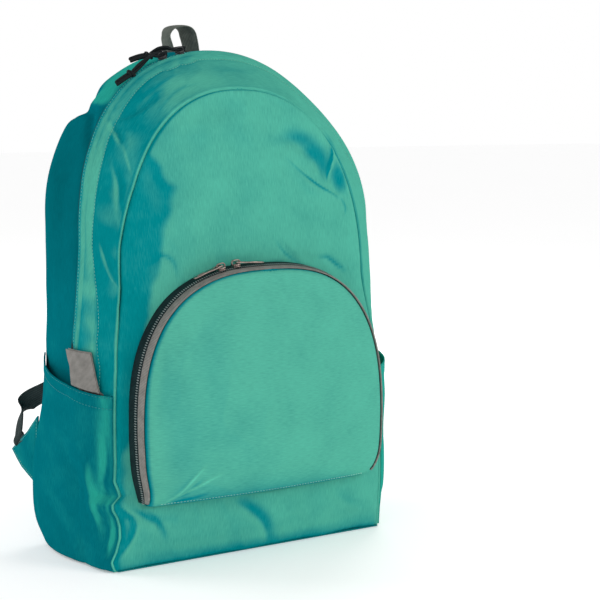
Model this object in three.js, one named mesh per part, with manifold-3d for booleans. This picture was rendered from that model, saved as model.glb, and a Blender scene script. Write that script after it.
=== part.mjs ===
// A packable backpack in thin cloth, standing on its base and lightly filled.
// Millimetres. X runs to the right as seen from the front, Y to the back and Z up.
// The origin is the middle of the base at floor level.
import * as THREE from 'three';
import { mergeVertices } from 'three/addons/utils/BufferGeometryUtils.js';
import Module from 'manifold-3d';

const wasm = await Module();
wasm.setup();

// Body sizes
const WIDTH = 300; // across the main zip line, at the belly
const HEIGHT = 430; // floor to the crown of the main zip line
const DEPTH = 130; // base, front edge to the fullest part of the back
const CLOTH = 1.5; // cloth wall
const SEAM_GAP = 0.3; // between sewn pieces
const SEAM_SHARE = 0.7; // of the gap, taken off each of two panels that meet at an edge
const CROWN_LEAN = 6; // how far the crown leans to the left
const FRONT_BULGE = 16; // front panel, forward of its seam
const BACK_BULGE = 7; // back panel, behind its seam
const LIP_PUFF = 3; // front gusset, outwards at mid width
const SIDE_PUFF = 6; // back gusset, outwards at mid width

// Main zip
const ZIP_WIDTH = 8;
const ZIP_THICKNESS = 1.2;
const ZIP_FOOT = 0.4; // where the zip ends on each side, as a share of HEIGHT

// Front pocket
const POCKET_FOOT = 53; // height of its bottom seam above the floor
const POCKET_HEIGHT = 199;
const POCKET_MARGIN = 10; // front seam to the pocket, at the pocket's widest
const POCKET_BULGE = 8;
const POCKET_ROUND = 14; // height over which its lower edge turns out from the front panel
const POCKET_ZIP_START = 5; // zip ends this far above the bottom seam
const TAPE_WIDTH = 7;
const CHAIN_WIDTH = 4;
const CHAIN_RAISE = 0.8;
const BINDING_WIDTH = 7;
const BAND_THICKNESS = 1.2;
const BAND_TAPER = 3; // the zip wall closes in by this much towards the pocket's face

// Sliders and the pocket's metal pulls
const SLIDER_LENGTH = 6.6;
const SLIDER_WIDTH = 7.5;
const SLIDER_THICKNESS = 2.6;
const BRIDGE_LENGTH = 8.4;
const BRIDGE_HEIGHT = 3.6;
const BRIDGE_WIDTH = 2;
const BRIDGE_WIRE = 0.9;
const PULL_LENGTH = 27;
const PULL_WIDTH = 6.4;
const PULL_THICKNESS = 1.2;
const PULL_CLEARANCE = 0.7;
const PULL_REST = 0.2; // a lying pull clears the slider's end by this
const LEFT_SLIDER_X = -42;
const RIGHT_SLIDER_X = -28;
const REAR_SLIDER_X = -36; // main zip
const FORE_SLIDER_X = -53;

// Side pockets and the grey tab on the left one
const SIDE_POCKET_LIFT = 0.12;
const SIDE_POCKET_BELLY = 9; // how far the mouth stands off at its middle
const HEM_FRONT = 148; // hem height at the front seam
const HEM_BACK = 172;
const TAB_WIDTH = 30;
const TAB_HEIGHT = 31;
const TAB_THICKNESS = 2.4;
const TAB_PLACE = 0.62; // share of the front gusset's width, front to zip line

// Webbing, straps and buckles
const WEBBING_WIDTH = 18;
const WEBBING_THICKNESS = 1.6;
const LOOP_WIDTH = 20;
const LOOP_SPAN = 46;
const LOOP_RISE = 25;
const STRAP_WIDTH = 55;
const STRAP_THICKNESS = 8;
const BUCKLE_WIDTH = 30;
const BUCKLE_LENGTH = 26;
const BUCKLE_THICKNESS = 4;
const BUCKLE_BAR = 4;
const ANCHOR_THICKNESS = 3;
const ANCHOR_INSET = 4; // in from the back seam

// Cord pulls of the main zip
const CORD_DIAMETER = 3.4;
const KNOT_SIZE = 9;

// Steps that the surfaces are cut in
const SIDE_LEVELS = [0, 0.05, 0.12, 0.19, 0.26, 0.33, 0.4, 0.47]; // shares of HEIGHT
const CROWN_STEPS = 9;
const ACROSS_STEPS = 8;
const POCKET_LEVELS = [0.35, 1]; // shares of the way up to the pocket's spring
const POCKET_LOW_LEVELS = [0, 0.12, 0.4, 1]; // shares of POCKET_ROUND
const PATH_STEPS = 14;

// Seam lines that run up one side, over the crown and down the other. Heights are shares of HEIGHT,
// half widths of WIDTH and places from front to back of DEPTH. Above the spring a line closes over
// the crown as a squared ellipse.
const FRONT_SEAM = {
  spring: 0.55,
  crown: 0.93,
  squareness: 2.25,
  rows: [
    { up: 0, half: 0.447, back: -0.5 },
    { up: 0.12, half: 0.452, back: -0.51 },
    { up: 0.3, half: 0.448, back: -0.5 },
    { up: 0.42, half: 0.433, back: -0.485 },
    { up: 0.55, half: 0.4, back: -0.46 },
    { up: 0.75, half: 0.4, back: -0.435 },
    { up: 0.93, half: 0.4, back: -0.4 },
  ],
};
const ZIP_LINE = {
  spring: 0.66,
  crown: 1,
  squareness: 2,
  rows: [
    { up: 0, half: 0.477, back: -0.23 },
    { up: 0.14, half: 0.494, back: -0.225 },
    { up: 0.35, half: 0.502, back: -0.22 },
    { up: 0.66, half: 0.493, back: -0.2 },
    { up: 0.85, half: 0.493, back: -0.13 },
    { up: 1, half: 0.493, back: -0.06 },
  ],
};
const BACK_SEAM = {
  spring: 0.67,
  crown: 1.003,
  squareness: 2,
  rows: [
    { up: 0, half: 0.478, back: 0.4 },
    { up: 0.05, half: 0.486, back: 0.535 },
    { up: 0.12, half: 0.488, back: 0.56 },
    { up: 0.19, half: 0.486, back: 0.53 },
    { up: 0.32, half: 0.473, back: 0.415 },
    { up: 0.45, half: 0.465, back: 0.4 },
    { up: 0.67, half: 0.46, back: 0.4 },
    { up: 1.003, half: 0.46, back: 0.385 },
  ],
};

// The pocket's outline: half widths are shares of its greatest half width, heights of POCKET_HEIGHT
const POCKET_LINE = {
  spring: 0.3,
  squareness: 2.6,
  rows: [
    { up: 0, half: 0.93 },
    { up: 0.15, half: 0.985 },
    { up: 0.3, half: 1 },
  ],
};

// Routes on the back. side is a share of WIDTH, off is millimetres behind the back seam, up is a
// share of HEIGHT.
const STRAP_ROUTE = [
  { side: 0.145, off: 8, up: 0.925 },
  { side: 0.15, off: 14, up: 0.87 },
  { side: 0.2, off: 29, up: 0.78 },
  { side: 0.24, off: 37, up: 0.66 },
  { side: 0.265, off: 37, up: 0.54 },
  { side: 0.275, off: 30, up: 0.45 },
];
const WEBBING_ROUTE = [
  { side: 0.285, off: 24, up: 0.375 },
  { side: 0.325, off: 34, up: 0.335 },
  { side: 0.385, off: 50, up: 0.295 },
  { side: 0.44, off: 60, up: 0.262 },
  { side: 0.468, off: 60, up: 0.228 },
  { side: 0.474, off: 46, up: 0.203 },
];
const ANCHOR_OUTLINE = [
  { off: 1.2, up: 0.112 },
  { off: 34, up: 0.136 },
  { off: 56, up: 0.167 },
  { off: 26, up: 0.218 },
  { off: 9, up: 0.26 },
  { off: 2.5, up: 0.19 },
];

// Cord pulls, from the slider outwards, as millimetres from the slider's seat
const REAR_CORD_ROUTE = [
  { x: -6.3, y: 1, z: 4 },
  { x: -10, y: 4, z: 6 },
  { x: -17, y: 8, z: 7.5 },
  { x: -24, y: 10, z: 6.5 },
  { x: -32, y: 9.5, z: 3.5 },
];
const FORE_CORD_ROUTE = [
  { x: -6.3, y: 0, z: 3.6 },
  { x: -11, y: -1, z: 4 },
  { x: -19, y: -3, z: 2 },
  { x: -28, y: -6, z: -2.5 },
  { x: -36, y: -8.5, z: -7.5 },
];
const REAR_TAIL_ROUTE = [
  { x: 0, y: 0, z: 0 },
  { x: -8, y: -1.5, z: -2.5 },
  { x: -15, y: -1, z: -5.5 },
];
const FORE_TAIL_ROUTE = [
  { x: 0, y: 0, z: 0 },
  { x: -8, y: -2, z: -5.5 },
  { x: -14, y: -2.5, z: -11 },
];

const vec = (x, y, z) => new THREE.Vector3(x, y, z);
const mix = (a, b, share) => a.clone().lerp(b, share);
const clamp = THREE.MathUtils.clamp;

// Finish of each material
const FINISHES = {
  body_cloth: { color: 0x2f9a88, roughness: 0.5, metalness: 0 },
  side_cloth: { color: 0x0f7d80, roughness: 0.5, metalness: 0 },
  black_zip: { color: 0x141b1c, roughness: 0.7, metalness: 0 },
  grey_tape: { color: 0x6f7570, roughness: 0.8, metalness: 0 },
  webbing: { color: 0x3d4646, roughness: 0.8, metalness: 0 },
  black_cord: { color: 0x0c1011, roughness: 0.75, metalness: 0 },
  buckle_plastic: { color: 0x15181a, roughness: 0.45, metalness: 0 },
  slider_metal: { color: 0xb9bcbd, roughness: 0.3, metalness: 1 },
};

// Smooth value of one column of a table, at a height share
function column(rows, name, up) {
  const last = rows.length - 1;
  let i = 0;
  while (i < last - 1 && up > rows[i + 1].up) i++;
  const slope = (k) => {
    const before = rows[Math.max(k - 1, 0)];
    const after = rows[Math.min(k + 1, last)];
    return (after[name] - before[name]) / (after.up - before.up);
  };
  const span = rows[i + 1].up - rows[i].up;
  const t = clamp((up - rows[i].up) / span, 0, 1);
  const rise = rows[i + 1][name] - rows[i][name];
  const ease = t * t * (3 - 2 * t);
  return (
    rows[i][name] +
    rise * ease +
    span * slope(i) * t * (1 - t) ** 2 -
    span * slope(i + 1) * t * t * (1 - t)
  );
}

// Where a seam line lies at a height
const leanAt = (z) => -CROWN_LEAN * Math.max(z / HEIGHT, 0) ** 3;
const lineBack = (line, z) => DEPTH * column(line.rows, 'back', z / HEIGHT);

function lineHalf(line, z) {
  const up = z / HEIGHT;
  const side = WIDTH * column(line.rows, 'half', Math.min(up, line.spring));
  if (up <= line.spring) return side;
  const t = clamp((up - line.spring) / (line.crown - line.spring), 0, 1);
  return side * (1 - t ** line.squareness) ** (1 / line.squareness);
}

// Points of a seam line from one foot to the crown. Each has its half width, its height and how it
// faces: 1 where it faces sideways, 0 where it faces up.
function risingPoints(line) {
  const points = SIDE_LEVELS.map((share) => ({ z: share * HEIGHT, half: 0, facing: 1 }));
  for (const point of points) point.half = lineHalf(line, point.z);
  const spring = line.spring * HEIGHT;
  const rise = line.crown * HEIGHT - spring;
  const wide = lineHalf(line, spring);
  for (let k = 0; k <= CROWN_STEPS; k++) {
    const angle = (Math.PI / 2) * (k / CROWN_STEPS);
    const power = 2 / line.squareness;
    const facing = k === CROWN_STEPS ? 0 : Math.cos(angle);
    points.push({ z: spring + rise * Math.sin(angle) ** power, half: wide * facing ** power, facing });
  }
  return points;
}

// The whole line, left foot to right foot
function wholeLine(line) {
  const rising = risingPoints(line);
  const place = (point, side) => {
    const at = vec(side * point.half + leanAt(point.z), lineBack(line, point.z), point.z);
    const out = vec(side * point.facing, 0, Math.sqrt(1 - point.facing ** 2));
    return { at, out, facing: point.facing };
  };
  const left = rising.map((point) => place(point, -1));
  const right = rising.slice(0, -1).reverse().map((point) => place(point, 1));
  return [...left, ...right];
}

// Front and back surfaces
const bellyShare = (z, crown) => Math.sin(Math.PI * clamp(z / crown, 0, 1) ** 0.75);
const crossShare = (x, half) => (half > 0 ? Math.max(1 - ((x / half) ** 2), 0) ** 0.8 : 0);

function frontY(x, z) {
  const belly = bellyShare(z, FRONT_SEAM.crown * HEIGHT);
  const across = crossShare(x - leanAt(z), lineHalf(FRONT_SEAM, z));
  return lineBack(FRONT_SEAM, z) - FRONT_BULGE * belly * across;
}

function backY(x, z) {
  const belly = bellyShare(z, BACK_SEAM.crown * HEIGHT);
  const across = crossShare(x - leanAt(z), lineHalf(BACK_SEAM, z));
  return lineBack(BACK_SEAM, z) + BACK_BULGE * belly * across;
}

// A panel's grid between its left and right edges, one row for each height
function panelGrid(rising, depthAt) {
  return rising.map((point) => {
    const row = [];
    for (let j = 0; j <= ACROSS_STEPS; j++) {
      const x = point.half * ((2 * j) / ACROSS_STEPS - 1) + leanAt(point.z);
      row.push(vec(x, depthAt(x, point.z), point.z));
    }
    return row;
  });
}

// A gusset's grid between two seam lines, puffed outwards at mid width
function gussetGrid(from, to, puff, shares) {
  const start = wholeLine(from);
  const end = wholeLine(to);
  return start.map((first, i) => {
    const out = mix(first.out, end[i].out, 0.5).normalize();
    const fullness = puff * (0.08 + 0.92 * first.facing);
    return shares.map((share) =>
      mix(first.at, end[i].at, share).addScaledVector(out, fullness * 4 * share * (1 - share)));
  });
}

// A point on the side of the body below the springs: place runs 0 at the front seam, 1 at the zip
// line and 2 at the back seam
function sidePoint(side, place, z) {
  const [from, to, puff] = place <= 1
    ? [FRONT_SEAM, ZIP_LINE, LIP_PUFF]
    : [ZIP_LINE, BACK_SEAM, SIDE_PUFF];
  const share = place <= 1 ? place : place - 1;
  const at = (line) => vec(side * lineHalf(line, z) + leanAt(z), lineBack(line, z), z);
  const point = mix(at(from), at(to), share);
  point.x += side * puff * 4 * share * (1 - share);
  return point;
}

// Closed bodies
const keyOf = (p) => `${Math.round(p.x * 1000)},${Math.round(p.y * 1000)},${Math.round(p.z * 1000)}`;

// The vector whose products with the given directions are the given amounts
function solveFor(directions, amounts) {
  const m = new THREE.Matrix3();
  const e = m.elements;
  const sum = vec(0, 0, 0);
  directions.forEach((d, i) => {
    const c = [d.x, d.y, d.z];
    for (let col = 0; col < 3; col++) {
      for (let row = 0; row < 3; row++) e[col * 3 + row] += c[col] * c[row];
    }
    sum.addScaledVector(d, amounts[i]);
  });
  const settle = 1e-3;
  for (const spot of [0, 4, 8]) e[spot] += settle - 1;
  return sum.applyMatrix3(m.invert());
}

// Unit normals of a grid, one for each point, all on the side that faces away from the middle
function gridNormals(grid, middle) {
  const normals = grid.map((row) => row.map(() => vec(0, 0, 0)));
  for (let i = 0; i + 1 < grid.length; i++) {
    for (let j = 0; j + 1 < grid[0].length; j++) {
      const across = grid[i + 1][j + 1].clone().sub(grid[i][j]);
      const other = grid[i + 1][j].clone().sub(grid[i][j + 1]);
      const normal = across.cross(other);
      for (const [a, b] of [[i, j], [i + 1, j], [i, j + 1], [i + 1, j + 1]]) normals[a][b].add(normal);
    }
  }
  let vote = 0;
  grid.forEach((row, i) => row.forEach((p, j) => {
    vote += normals[i][j].dot(p.clone().sub(middle));
  }));
  const shared = new Map();
  grid.forEach((row, i) => row.forEach((p, j) => {
    const key = keyOf(p);
    if (!shared.has(key)) shared.set(key, vec(0, 0, 0));
    shared.get(key).add(normals[i][j]);
  }));
  return grid.map((row) =>
    row.map((p) => shared.get(keyOf(p)).clone().normalize().multiplyScalar(vote < 0 ? -1 : 1)));
}

// The points round a grid's edge, in order, without repeats
function edgeLoop(grid) {
  const last = grid.length - 1;
  const end = grid[0].length - 1;
  const spots = [];
  for (let j = 0; j < end; j++) spots.push([0, j]);
  for (let i = 0; i < last; i++) spots.push([i, end]);
  for (let j = end; j > 0; j--) spots.push([last, j]);
  for (let i = last; i > 0; i--) spots.push([i, 0]);
  return spots.filter(([i, j], k) => {
    const [a, b] = spots[(k + spots.length - 1) % spots.length];
    return keyOf(grid[i][j]) !== keyOf(grid[a][b]);
  });
}

// The middle of the cells round each point of a grid
function cellMiddles(grid) {
  const middles = new Map();
  for (let i = 0; i + 1 < grid.length; i++) {
    for (let j = 0; j + 1 < grid[0].length; j++) {
      const corners = [grid[i][j], grid[i + 1][j], grid[i][j + 1], grid[i + 1][j + 1]];
      const middle = corners.reduce((sum, p) => sum.addScaledVector(p, 0.25), vec(0, 0, 0));
      for (const key of new Set(corners.map(keyOf))) {
        if (!middles.has(key)) middles.set(key, { sum: vec(0, 0, 0), count: 0 });
        const entry = middles.get(key);
        entry.sum.add(middle);
        entry.count += 1;
      }
    }
  }
  return (p) => {
    const { sum, count } = middles.get(keyOf(p));
    return sum.clone().divideScalar(count);
  };
}

// Draws a grid's edge in along its own surface, so that it stays clear of what it is sewn to
function drawnIn(outer, inner, normals, gap) {
  const loop = edgeLoop(outer);
  const middleOf = cellMiddles(outer);
  const moves = new Map();
  loop.forEach(([i, j], k) => {
    const [a, b] = loop[(k + loop.length - 1) % loop.length];
    const [c, d] = loop[(k + 1) % loop.length];
    const here = outer[i][j];
    const inside = middleOf(here).sub(here);
    const inward = [here.clone().sub(outer[a][b]), outer[c][d].clone().sub(here)].map((edge) => {
      const turned = normals[i][j].clone().cross(edge).normalize();
      return turned.dot(inside) < 0 ? turned.negate() : turned;
    });
    moves.set(keyOf(here), solveFor([...inward, normals[i][j]], [gap, gap, 0]));
  });
  const shift = (grid) => grid.map((row, i) => row.map((p, j) => {
    const move = moves.get(keyOf(outer[i][j]));
    return move ? p.clone().add(move) : p.clone();
  }));
  return [shift(outer), shift(inner)];
}

// A closed body between two grids
function slab(outer, inner) {
  const rows = outer.length;
  const columns = outer[0].length;
  const positions = [];
  const quad = (a, b, c, d) => {
    for (const p of [a, b, c, a, c, d]) positions.push(p.x, p.y, p.z);
  };
  for (let i = 0; i + 1 < rows; i++) {
    for (let j = 0; j + 1 < columns; j++) {
      quad(outer[i][j], outer[i][j + 1], outer[i + 1][j + 1], outer[i + 1][j]);
      quad(inner[i][j], inner[i + 1][j], inner[i + 1][j + 1], inner[i][j + 1]);
    }
  }
  for (let j = 0; j + 1 < columns; j++) {
    quad(outer[0][j + 1], outer[0][j], inner[0][j], inner[0][j + 1]);
    quad(outer[rows - 1][j], outer[rows - 1][j + 1], inner[rows - 1][j + 1], inner[rows - 1][j]);
  }
  for (let i = 0; i + 1 < rows; i++) {
    quad(outer[i][0], outer[i + 1][0], inner[i + 1][0], inner[i][0]);
    quad(outer[i + 1][columns - 1], outer[i][columns - 1], inner[i][columns - 1], inner[i + 1][columns - 1]);
  }
  return closedGeometry(positions);
}

// Welds loose triangles, drops the ones that have no area and turns the body's faces outwards
function closedGeometry(positions) {
  const loose = new THREE.BufferGeometry();
  loose.setAttribute('position', new THREE.Float32BufferAttribute(positions, 3));
  const welded = mergeVertices(loose, 1e-3);
  const at = welded.attributes.position;
  const point = (i) => vec(at.getX(i), at.getY(i), at.getZ(i));
  const kept = [];
  let volume = 0;
  for (let i = 0; i < welded.index.count; i += 3) {
    const [a, b, c] = [0, 1, 2].map((k) => welded.index.getX(i + k));
    if (a === b || b === c || a === c) continue;
    kept.push([a, b, c]);
    volume += point(a).dot(point(b).cross(point(c)));
  }
  if (volume < 0) kept.forEach((face) => face.reverse());
  welded.setIndex(kept.flat());
  return welded;
}

function solidOf(geometry) {
  const loose = geometry.index ? geometry.toNonIndexed() : geometry;
  const closed = closedGeometry([...loose.attributes.position.array]);
  return new wasm.Manifold(new wasm.Mesh({
    numProp: 3,
    vertProperties: new Float32Array(closed.attributes.position.array),
    triVerts: new Uint32Array(closed.index.array),
  }));
}

function geometryOf(solid) {
  const mesh = solid.getMesh();
  const geometry = new THREE.BufferGeometry();
  geometry.setAttribute('position', new THREE.BufferAttribute(mesh.vertProperties, 3));
  geometry.setIndex(new THREE.BufferAttribute(mesh.triVerts, 1));
  return geometry;
}

const fused = (...geometries) =>
  geometryOf(geometries.map(solidOf).reduce((whole, next) => whole.add(next)));

// A flat outline, pushed out along Z and centred on it
function plate(shape, thickness, curveSegments = 4) {
  const geometry = new THREE.ExtrudeGeometry(shape, { depth: thickness, bevelEnabled: false, curveSegments });
  return geometry.translate(0, 0, -thickness / 2);
}

function roundedRectangle(path, left, bottom, right, top, radius) {
  path.moveTo(left + radius, bottom);
  path.lineTo(right - radius, bottom);
  path.absarc(right - radius, bottom + radius, radius, -Math.PI / 2, 0);
  path.lineTo(right, top - radius);
  path.absarc(right - radius, top - radius, radius, 0, Math.PI / 2);
  path.lineTo(left + radius, top);
  path.absarc(left + radius, top - radius, radius, Math.PI / 2, Math.PI);
  path.lineTo(left, bottom + radius);
  path.absarc(left + radius, bottom + radius, radius, Math.PI, Math.PI * 1.5);
  return path;
}

// A flat strip that follows points, with its own width direction at each end
function ribbon(points, acrossStart, acrossEnd, width, thickness, steps = PATH_STEPS) {
  const curve = new THREE.CatmullRomCurve3(points);
  const outer = [];
  const inner = [];
  for (let i = 0; i <= steps; i++) {
    const share = i / steps;
    const here = curve.getPoint(share);
    const along = curve.getTangent(share);
    const across = mix(acrossStart, acrossEnd, share);
    across.addScaledVector(along, -across.dot(along)).normalize();
    const face = along.clone().cross(across).normalize();
    const widthHere = typeof width === 'function' ? width(share) : width;
    const edge = (u, v) =>
      here.clone().addScaledVector(across, (u * widthHere) / 2).addScaledVector(face, (v * thickness) / 2);
    outer.push([edge(-1, 1), edge(1, 1)]);
    inner.push([edge(-1, -1), edge(1, -1)]);
  }
  return slab(outer, inner);
}

// A round cord along points
function cordAlong(points, diameter, steps) {
  const sides = 8;
  const ring = new THREE.Shape();
  for (let k = 0; k < sides; k++) {
    const angle = (2 * Math.PI * k) / sides;
    const spot = [(diameter / 2) * Math.cos(angle), (diameter / 2) * Math.sin(angle)];
    if (k === 0) ring.moveTo(...spot);
    else ring.lineTo(...spot);
  }
  return new THREE.ExtrudeGeometry(ring, {
    steps,
    bevelEnabled: false,
    extrudePath: new THREE.CatmullRomCurve3(points),
  });
}

const bag = new THREE.Group();
bag.name = 'packable_backpack';

function addPiece(name, geometry, finish, parent = bag) {
  const mesh = new THREE.Mesh(geometry, new THREE.MeshStandardMaterial(FINISHES[finish]));
  mesh.name = name;
  parent.add(mesh);
  return mesh;
}

// Body: five panels that share their seams, each wall mitred against its neighbours
const LIP_SHARES = [0, 0.5, 1];
const SIDE_SHARES = [0, 1 / 3, 2 / 3, 1];

function baseGrid(frontGusset, backGusset) {
  const left = [...frontGusset[0], ...backGusset[0].slice(1)];
  const right = [...frontGusset.at(-1), ...backGusset.at(-1).slice(1)];
  return left.map((start, i) => {
    const row = [];
    for (let j = 0; j <= ACROSS_STEPS; j++) row.push(mix(start, right[i], j / ACROSS_STEPS));
    return row;
  });
}

function addBody() {
  const front = panelGrid(risingPoints(FRONT_SEAM), frontY);
  const back = panelGrid(risingPoints(BACK_SEAM), backY);
  const frontGusset = gussetGrid(FRONT_SEAM, ZIP_LINE, LIP_PUFF, LIP_SHARES);
  const backGusset = gussetGrid(ZIP_LINE, BACK_SEAM, SIDE_PUFF, SIDE_SHARES);
  const base = baseGrid(frontGusset, backGusset);
  const panels = [
    { name: 'front_panel', grid: front, finish: 'body_cloth' },
    { name: 'front_gusset', grid: frontGusset, finish: 'body_cloth' },
    { name: 'back_gusset', grid: backGusset, finish: 'side_cloth' },
    { name: 'back_panel', grid: back, finish: 'side_cloth' },
    { name: 'base_panel', grid: base, finish: 'side_cloth' },
  ];
  const middle = vec(0, 0, HEIGHT / 2);
  const meeting = new Map();
  for (const panel of panels) {
    panel.normals = gridNormals(panel.grid, middle);
    const seen = new Set();
    panel.grid.forEach((row, i) => row.forEach((p, j) => {
      const key = keyOf(p);
      if (seen.has(key)) return;
      seen.add(key);
      if (!meeting.has(key)) meeting.set(key, []);
      meeting.get(key).push(panel.normals[i][j]);
    }));
  }
  for (const { name, grid, normals, finish } of panels) {
    const inner = grid.map((row) => row.map((p) => {
      const faces = meeting.get(keyOf(p));
      return p.clone().add(solveFor(faces, faces.map(() => -CLOTH)));
    }));
    addPiece(name, slab(...drawnIn(grid, inner, normals, SEAM_GAP * SEAM_SHARE)), finish);
  }
}

// Main zip: a strip behind the front gusset's lip, lying on the back gusset
function zipSpot(i, share) {
  const start = wholeLine(ZIP_LINE)[i];
  const end = wholeLine(BACK_SEAM)[i];
  const out = mix(start.out, end.out, 0.5).normalize();
  const toBack = end.at.clone().sub(start.at);
  const width = toBack.length();
  const puff = SIDE_PUFF * (0.08 + 0.92 * start.facing) * 4;
  const far = share * (ZIP_WIDTH / width);
  const step = SIDE_SHARES[1];
  const height = (puff * step * (1 - step) * far) / step;
  const at = mix(start.at, end.at, far).addScaledVector(out, height);
  const along = end.at.clone().sub(start.at).multiplyScalar(step).addScaledVector(out, puff * step * (1 - step));
  const tangent = out.clone().cross(along);
  const face = along.clone().cross(tangent).normalize();
  return { at, face: face.dot(out) < 0 ? face.negate() : face };
}

function addMainZip() {
  const outer = [];
  const inner = [];
  const count = wholeLine(ZIP_LINE).length;
  for (let i = 0; i < count; i++) {
    if (wholeLine(ZIP_LINE)[i].at.z < ZIP_FOOT * HEIGHT - 1) continue;
    const spots = [0.04, 1].map((share) => zipSpot(i, share));
    outer.push(spots.map(({ at, face }) => at.clone().addScaledVector(face, SEAM_GAP + ZIP_THICKNESS)));
    inner.push(spots.map(({ at, face }) => at.clone().addScaledVector(face, SEAM_GAP)));
  }
  addPiece('main_zip', slab(outer, inner), 'black_zip');
}

// Front pocket
const pocketTop = POCKET_FOOT + POCKET_HEIGHT;
const pocketHalf = lineHalf(FRONT_SEAM, POCKET_FOOT + POCKET_LINE.spring * POCKET_HEIGHT) - POCKET_MARGIN;
const pocketStand = TAPE_WIDTH + CHAIN_WIDTH + BINDING_WIDTH + 2 * SEAM_GAP;

// How far the pocket stands off the front panel at a height
function standAt(z) {
  const u = clamp((z - POCKET_FOOT) / POCKET_ROUND, 0, 1);
  return pocketStand * Math.sqrt(1 - (1 - u) ** 2);
}

// Points of the pocket's outline from one foot to its crown, drawn in by a distance
function pocketRising(levels, drawIn) {
  const half = (up) => pocketHalf * column(POCKET_LINE.rows, 'half', up);
  const points = levels.map((z) => {
    const up = (z - POCKET_FOOT) / POCKET_HEIGHT;
    return { z, half: half(up) - drawIn, facing: 1 };
  });
  const spring = POCKET_FOOT + POCKET_LINE.spring * POCKET_HEIGHT;
  const power = 2 / POCKET_LINE.squareness;
  const wide = half(POCKET_LINE.spring) - drawIn;
  for (let k = 1; k <= CROWN_STEPS; k++) {
    const angle = (Math.PI / 2) * (k / CROWN_STEPS);
    const facing = k === CROWN_STEPS ? 0 : Math.cos(angle);
    const z = spring + (pocketTop - drawIn - spring) * Math.sin(angle) ** power;
    points.push({ z, half: wide * facing ** power, facing });
  }
  return points;
}

function pocketLevels(first) {
  const spring = POCKET_FOOT + POCKET_LINE.spring * POCKET_HEIGHT;
  const round = POCKET_FOOT + POCKET_ROUND;
  return [first, round, ...POCKET_LEVELS.map((share) => round + share * (spring - round))];
}

// The zip wall: share 0 lies on the front panel and 1 at the edge of the pocket's face
function bandSpot(index, share, sink) {
  const levels = pocketLevels(POCKET_FOOT + POCKET_ZIP_START);
  const near = pocketRising(levels, sink);
  const far = pocketRising(levels, sink + BAND_TAPER);
  const count = near.length;
  const side = index < count ? -1 : 1;
  const k = index < count ? index : 2 * (count - 1) - index;
  const at = (point, off) => {
    const x = side * point.half;
    return vec(x, frontY(x, point.z) - off, point.z);
  };
  return mix(at(near[k], SEAM_GAP), at(far[k], SEAM_GAP + standAt(near[k].z)), share);
}

const bandCount = 2 * (POCKET_LEVELS.length + 1 + CROWN_STEPS) + 1;

function addBand(name, from, to, raise, finish) {
  const outer = [];
  const inner = [];
  for (let i = 0; i < bandCount; i++) {
    outer.push([from, to].map((share) => bandSpot(i, share, -raise)));
    inner.push([from, to].map((share) => bandSpot(i, share, BAND_THICKNESS)));
  }
  addPiece(name, slab(outer, inner), finish);
}

function addPocket() {
  const tapeEnd = TAPE_WIDTH / pocketStand;
  const chainStart = (TAPE_WIDTH + SEAM_GAP) / pocketStand;
  const chainEnd = chainStart + CHAIN_WIDTH / pocketStand;
  const bindingStart = chainEnd + SEAM_GAP / pocketStand;
  addBand('pocket_zip_tape', 0, tapeEnd, 0, 'black_zip');
  addBand('pocket_zip_chain', chainStart, chainEnd, CHAIN_RAISE, 'black_zip');
  addBand('pocket_binding', bindingStart, 1, 0, 'grey_tape');
  const drawIn = BAND_TAPER + BAND_THICKNESS + SEAM_GAP;
  const low = POCKET_LOW_LEVELS.map((share) => POCKET_FOOT + share * POCKET_ROUND);
  const rising = pocketRising([...low.slice(0, -1), ...pocketLevels(low[0]).slice(1)], drawIn);
  const crown = rising.at(-1).z;
  const grid = rising.map((point) => {
    const row = [];
    for (let j = 0; j <= ACROSS_STEPS; j++) {
      const share = (2 * j) / ACROSS_STEPS - 1;
      const x = point.half * share;
      const belly = POCKET_BULGE * (1 - share * share) * bellyShare(point.z - POCKET_FOOT, crown - POCKET_FOOT);
      row.push(vec(x, frontY(x, point.z) - SEAM_GAP * 1.5 - standAt(point.z) - belly, point.z));
    }
    return row;
  });
  const normals = gridNormals(grid, vec(0, 0, (POCKET_FOOT + pocketTop) / 2));
  const inner = grid.map((row, i) => row.map((p, j) => p.clone().addScaledVector(normals[i][j], -CLOTH)));
  for (const row of [0]) {
    inner[row].forEach((p, j) => p.copy(grid[row][j]).add(vec(0, 0, CLOTH)));
  }
  addPiece('pocket_panel', slab(grid, inner), 'body_cloth');
}

// A local frame on a curve: along it, across it towards the viewer's side, and outwards
function frameOn(before, here, after, across) {
  const along = after.clone().sub(before).normalize();
  const side = across.clone().addScaledVector(along, -across.dot(along)).normalize();
  const out = along.clone().cross(side).normalize();
  return { here, along, side, out };
}

function place(mesh, { along, side, out }, origin) {
  mesh.position.copy(origin);
  mesh.quaternion.setFromRotationMatrix(new THREE.Matrix4().makeBasis(along, side, out));
  return mesh;
}

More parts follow.
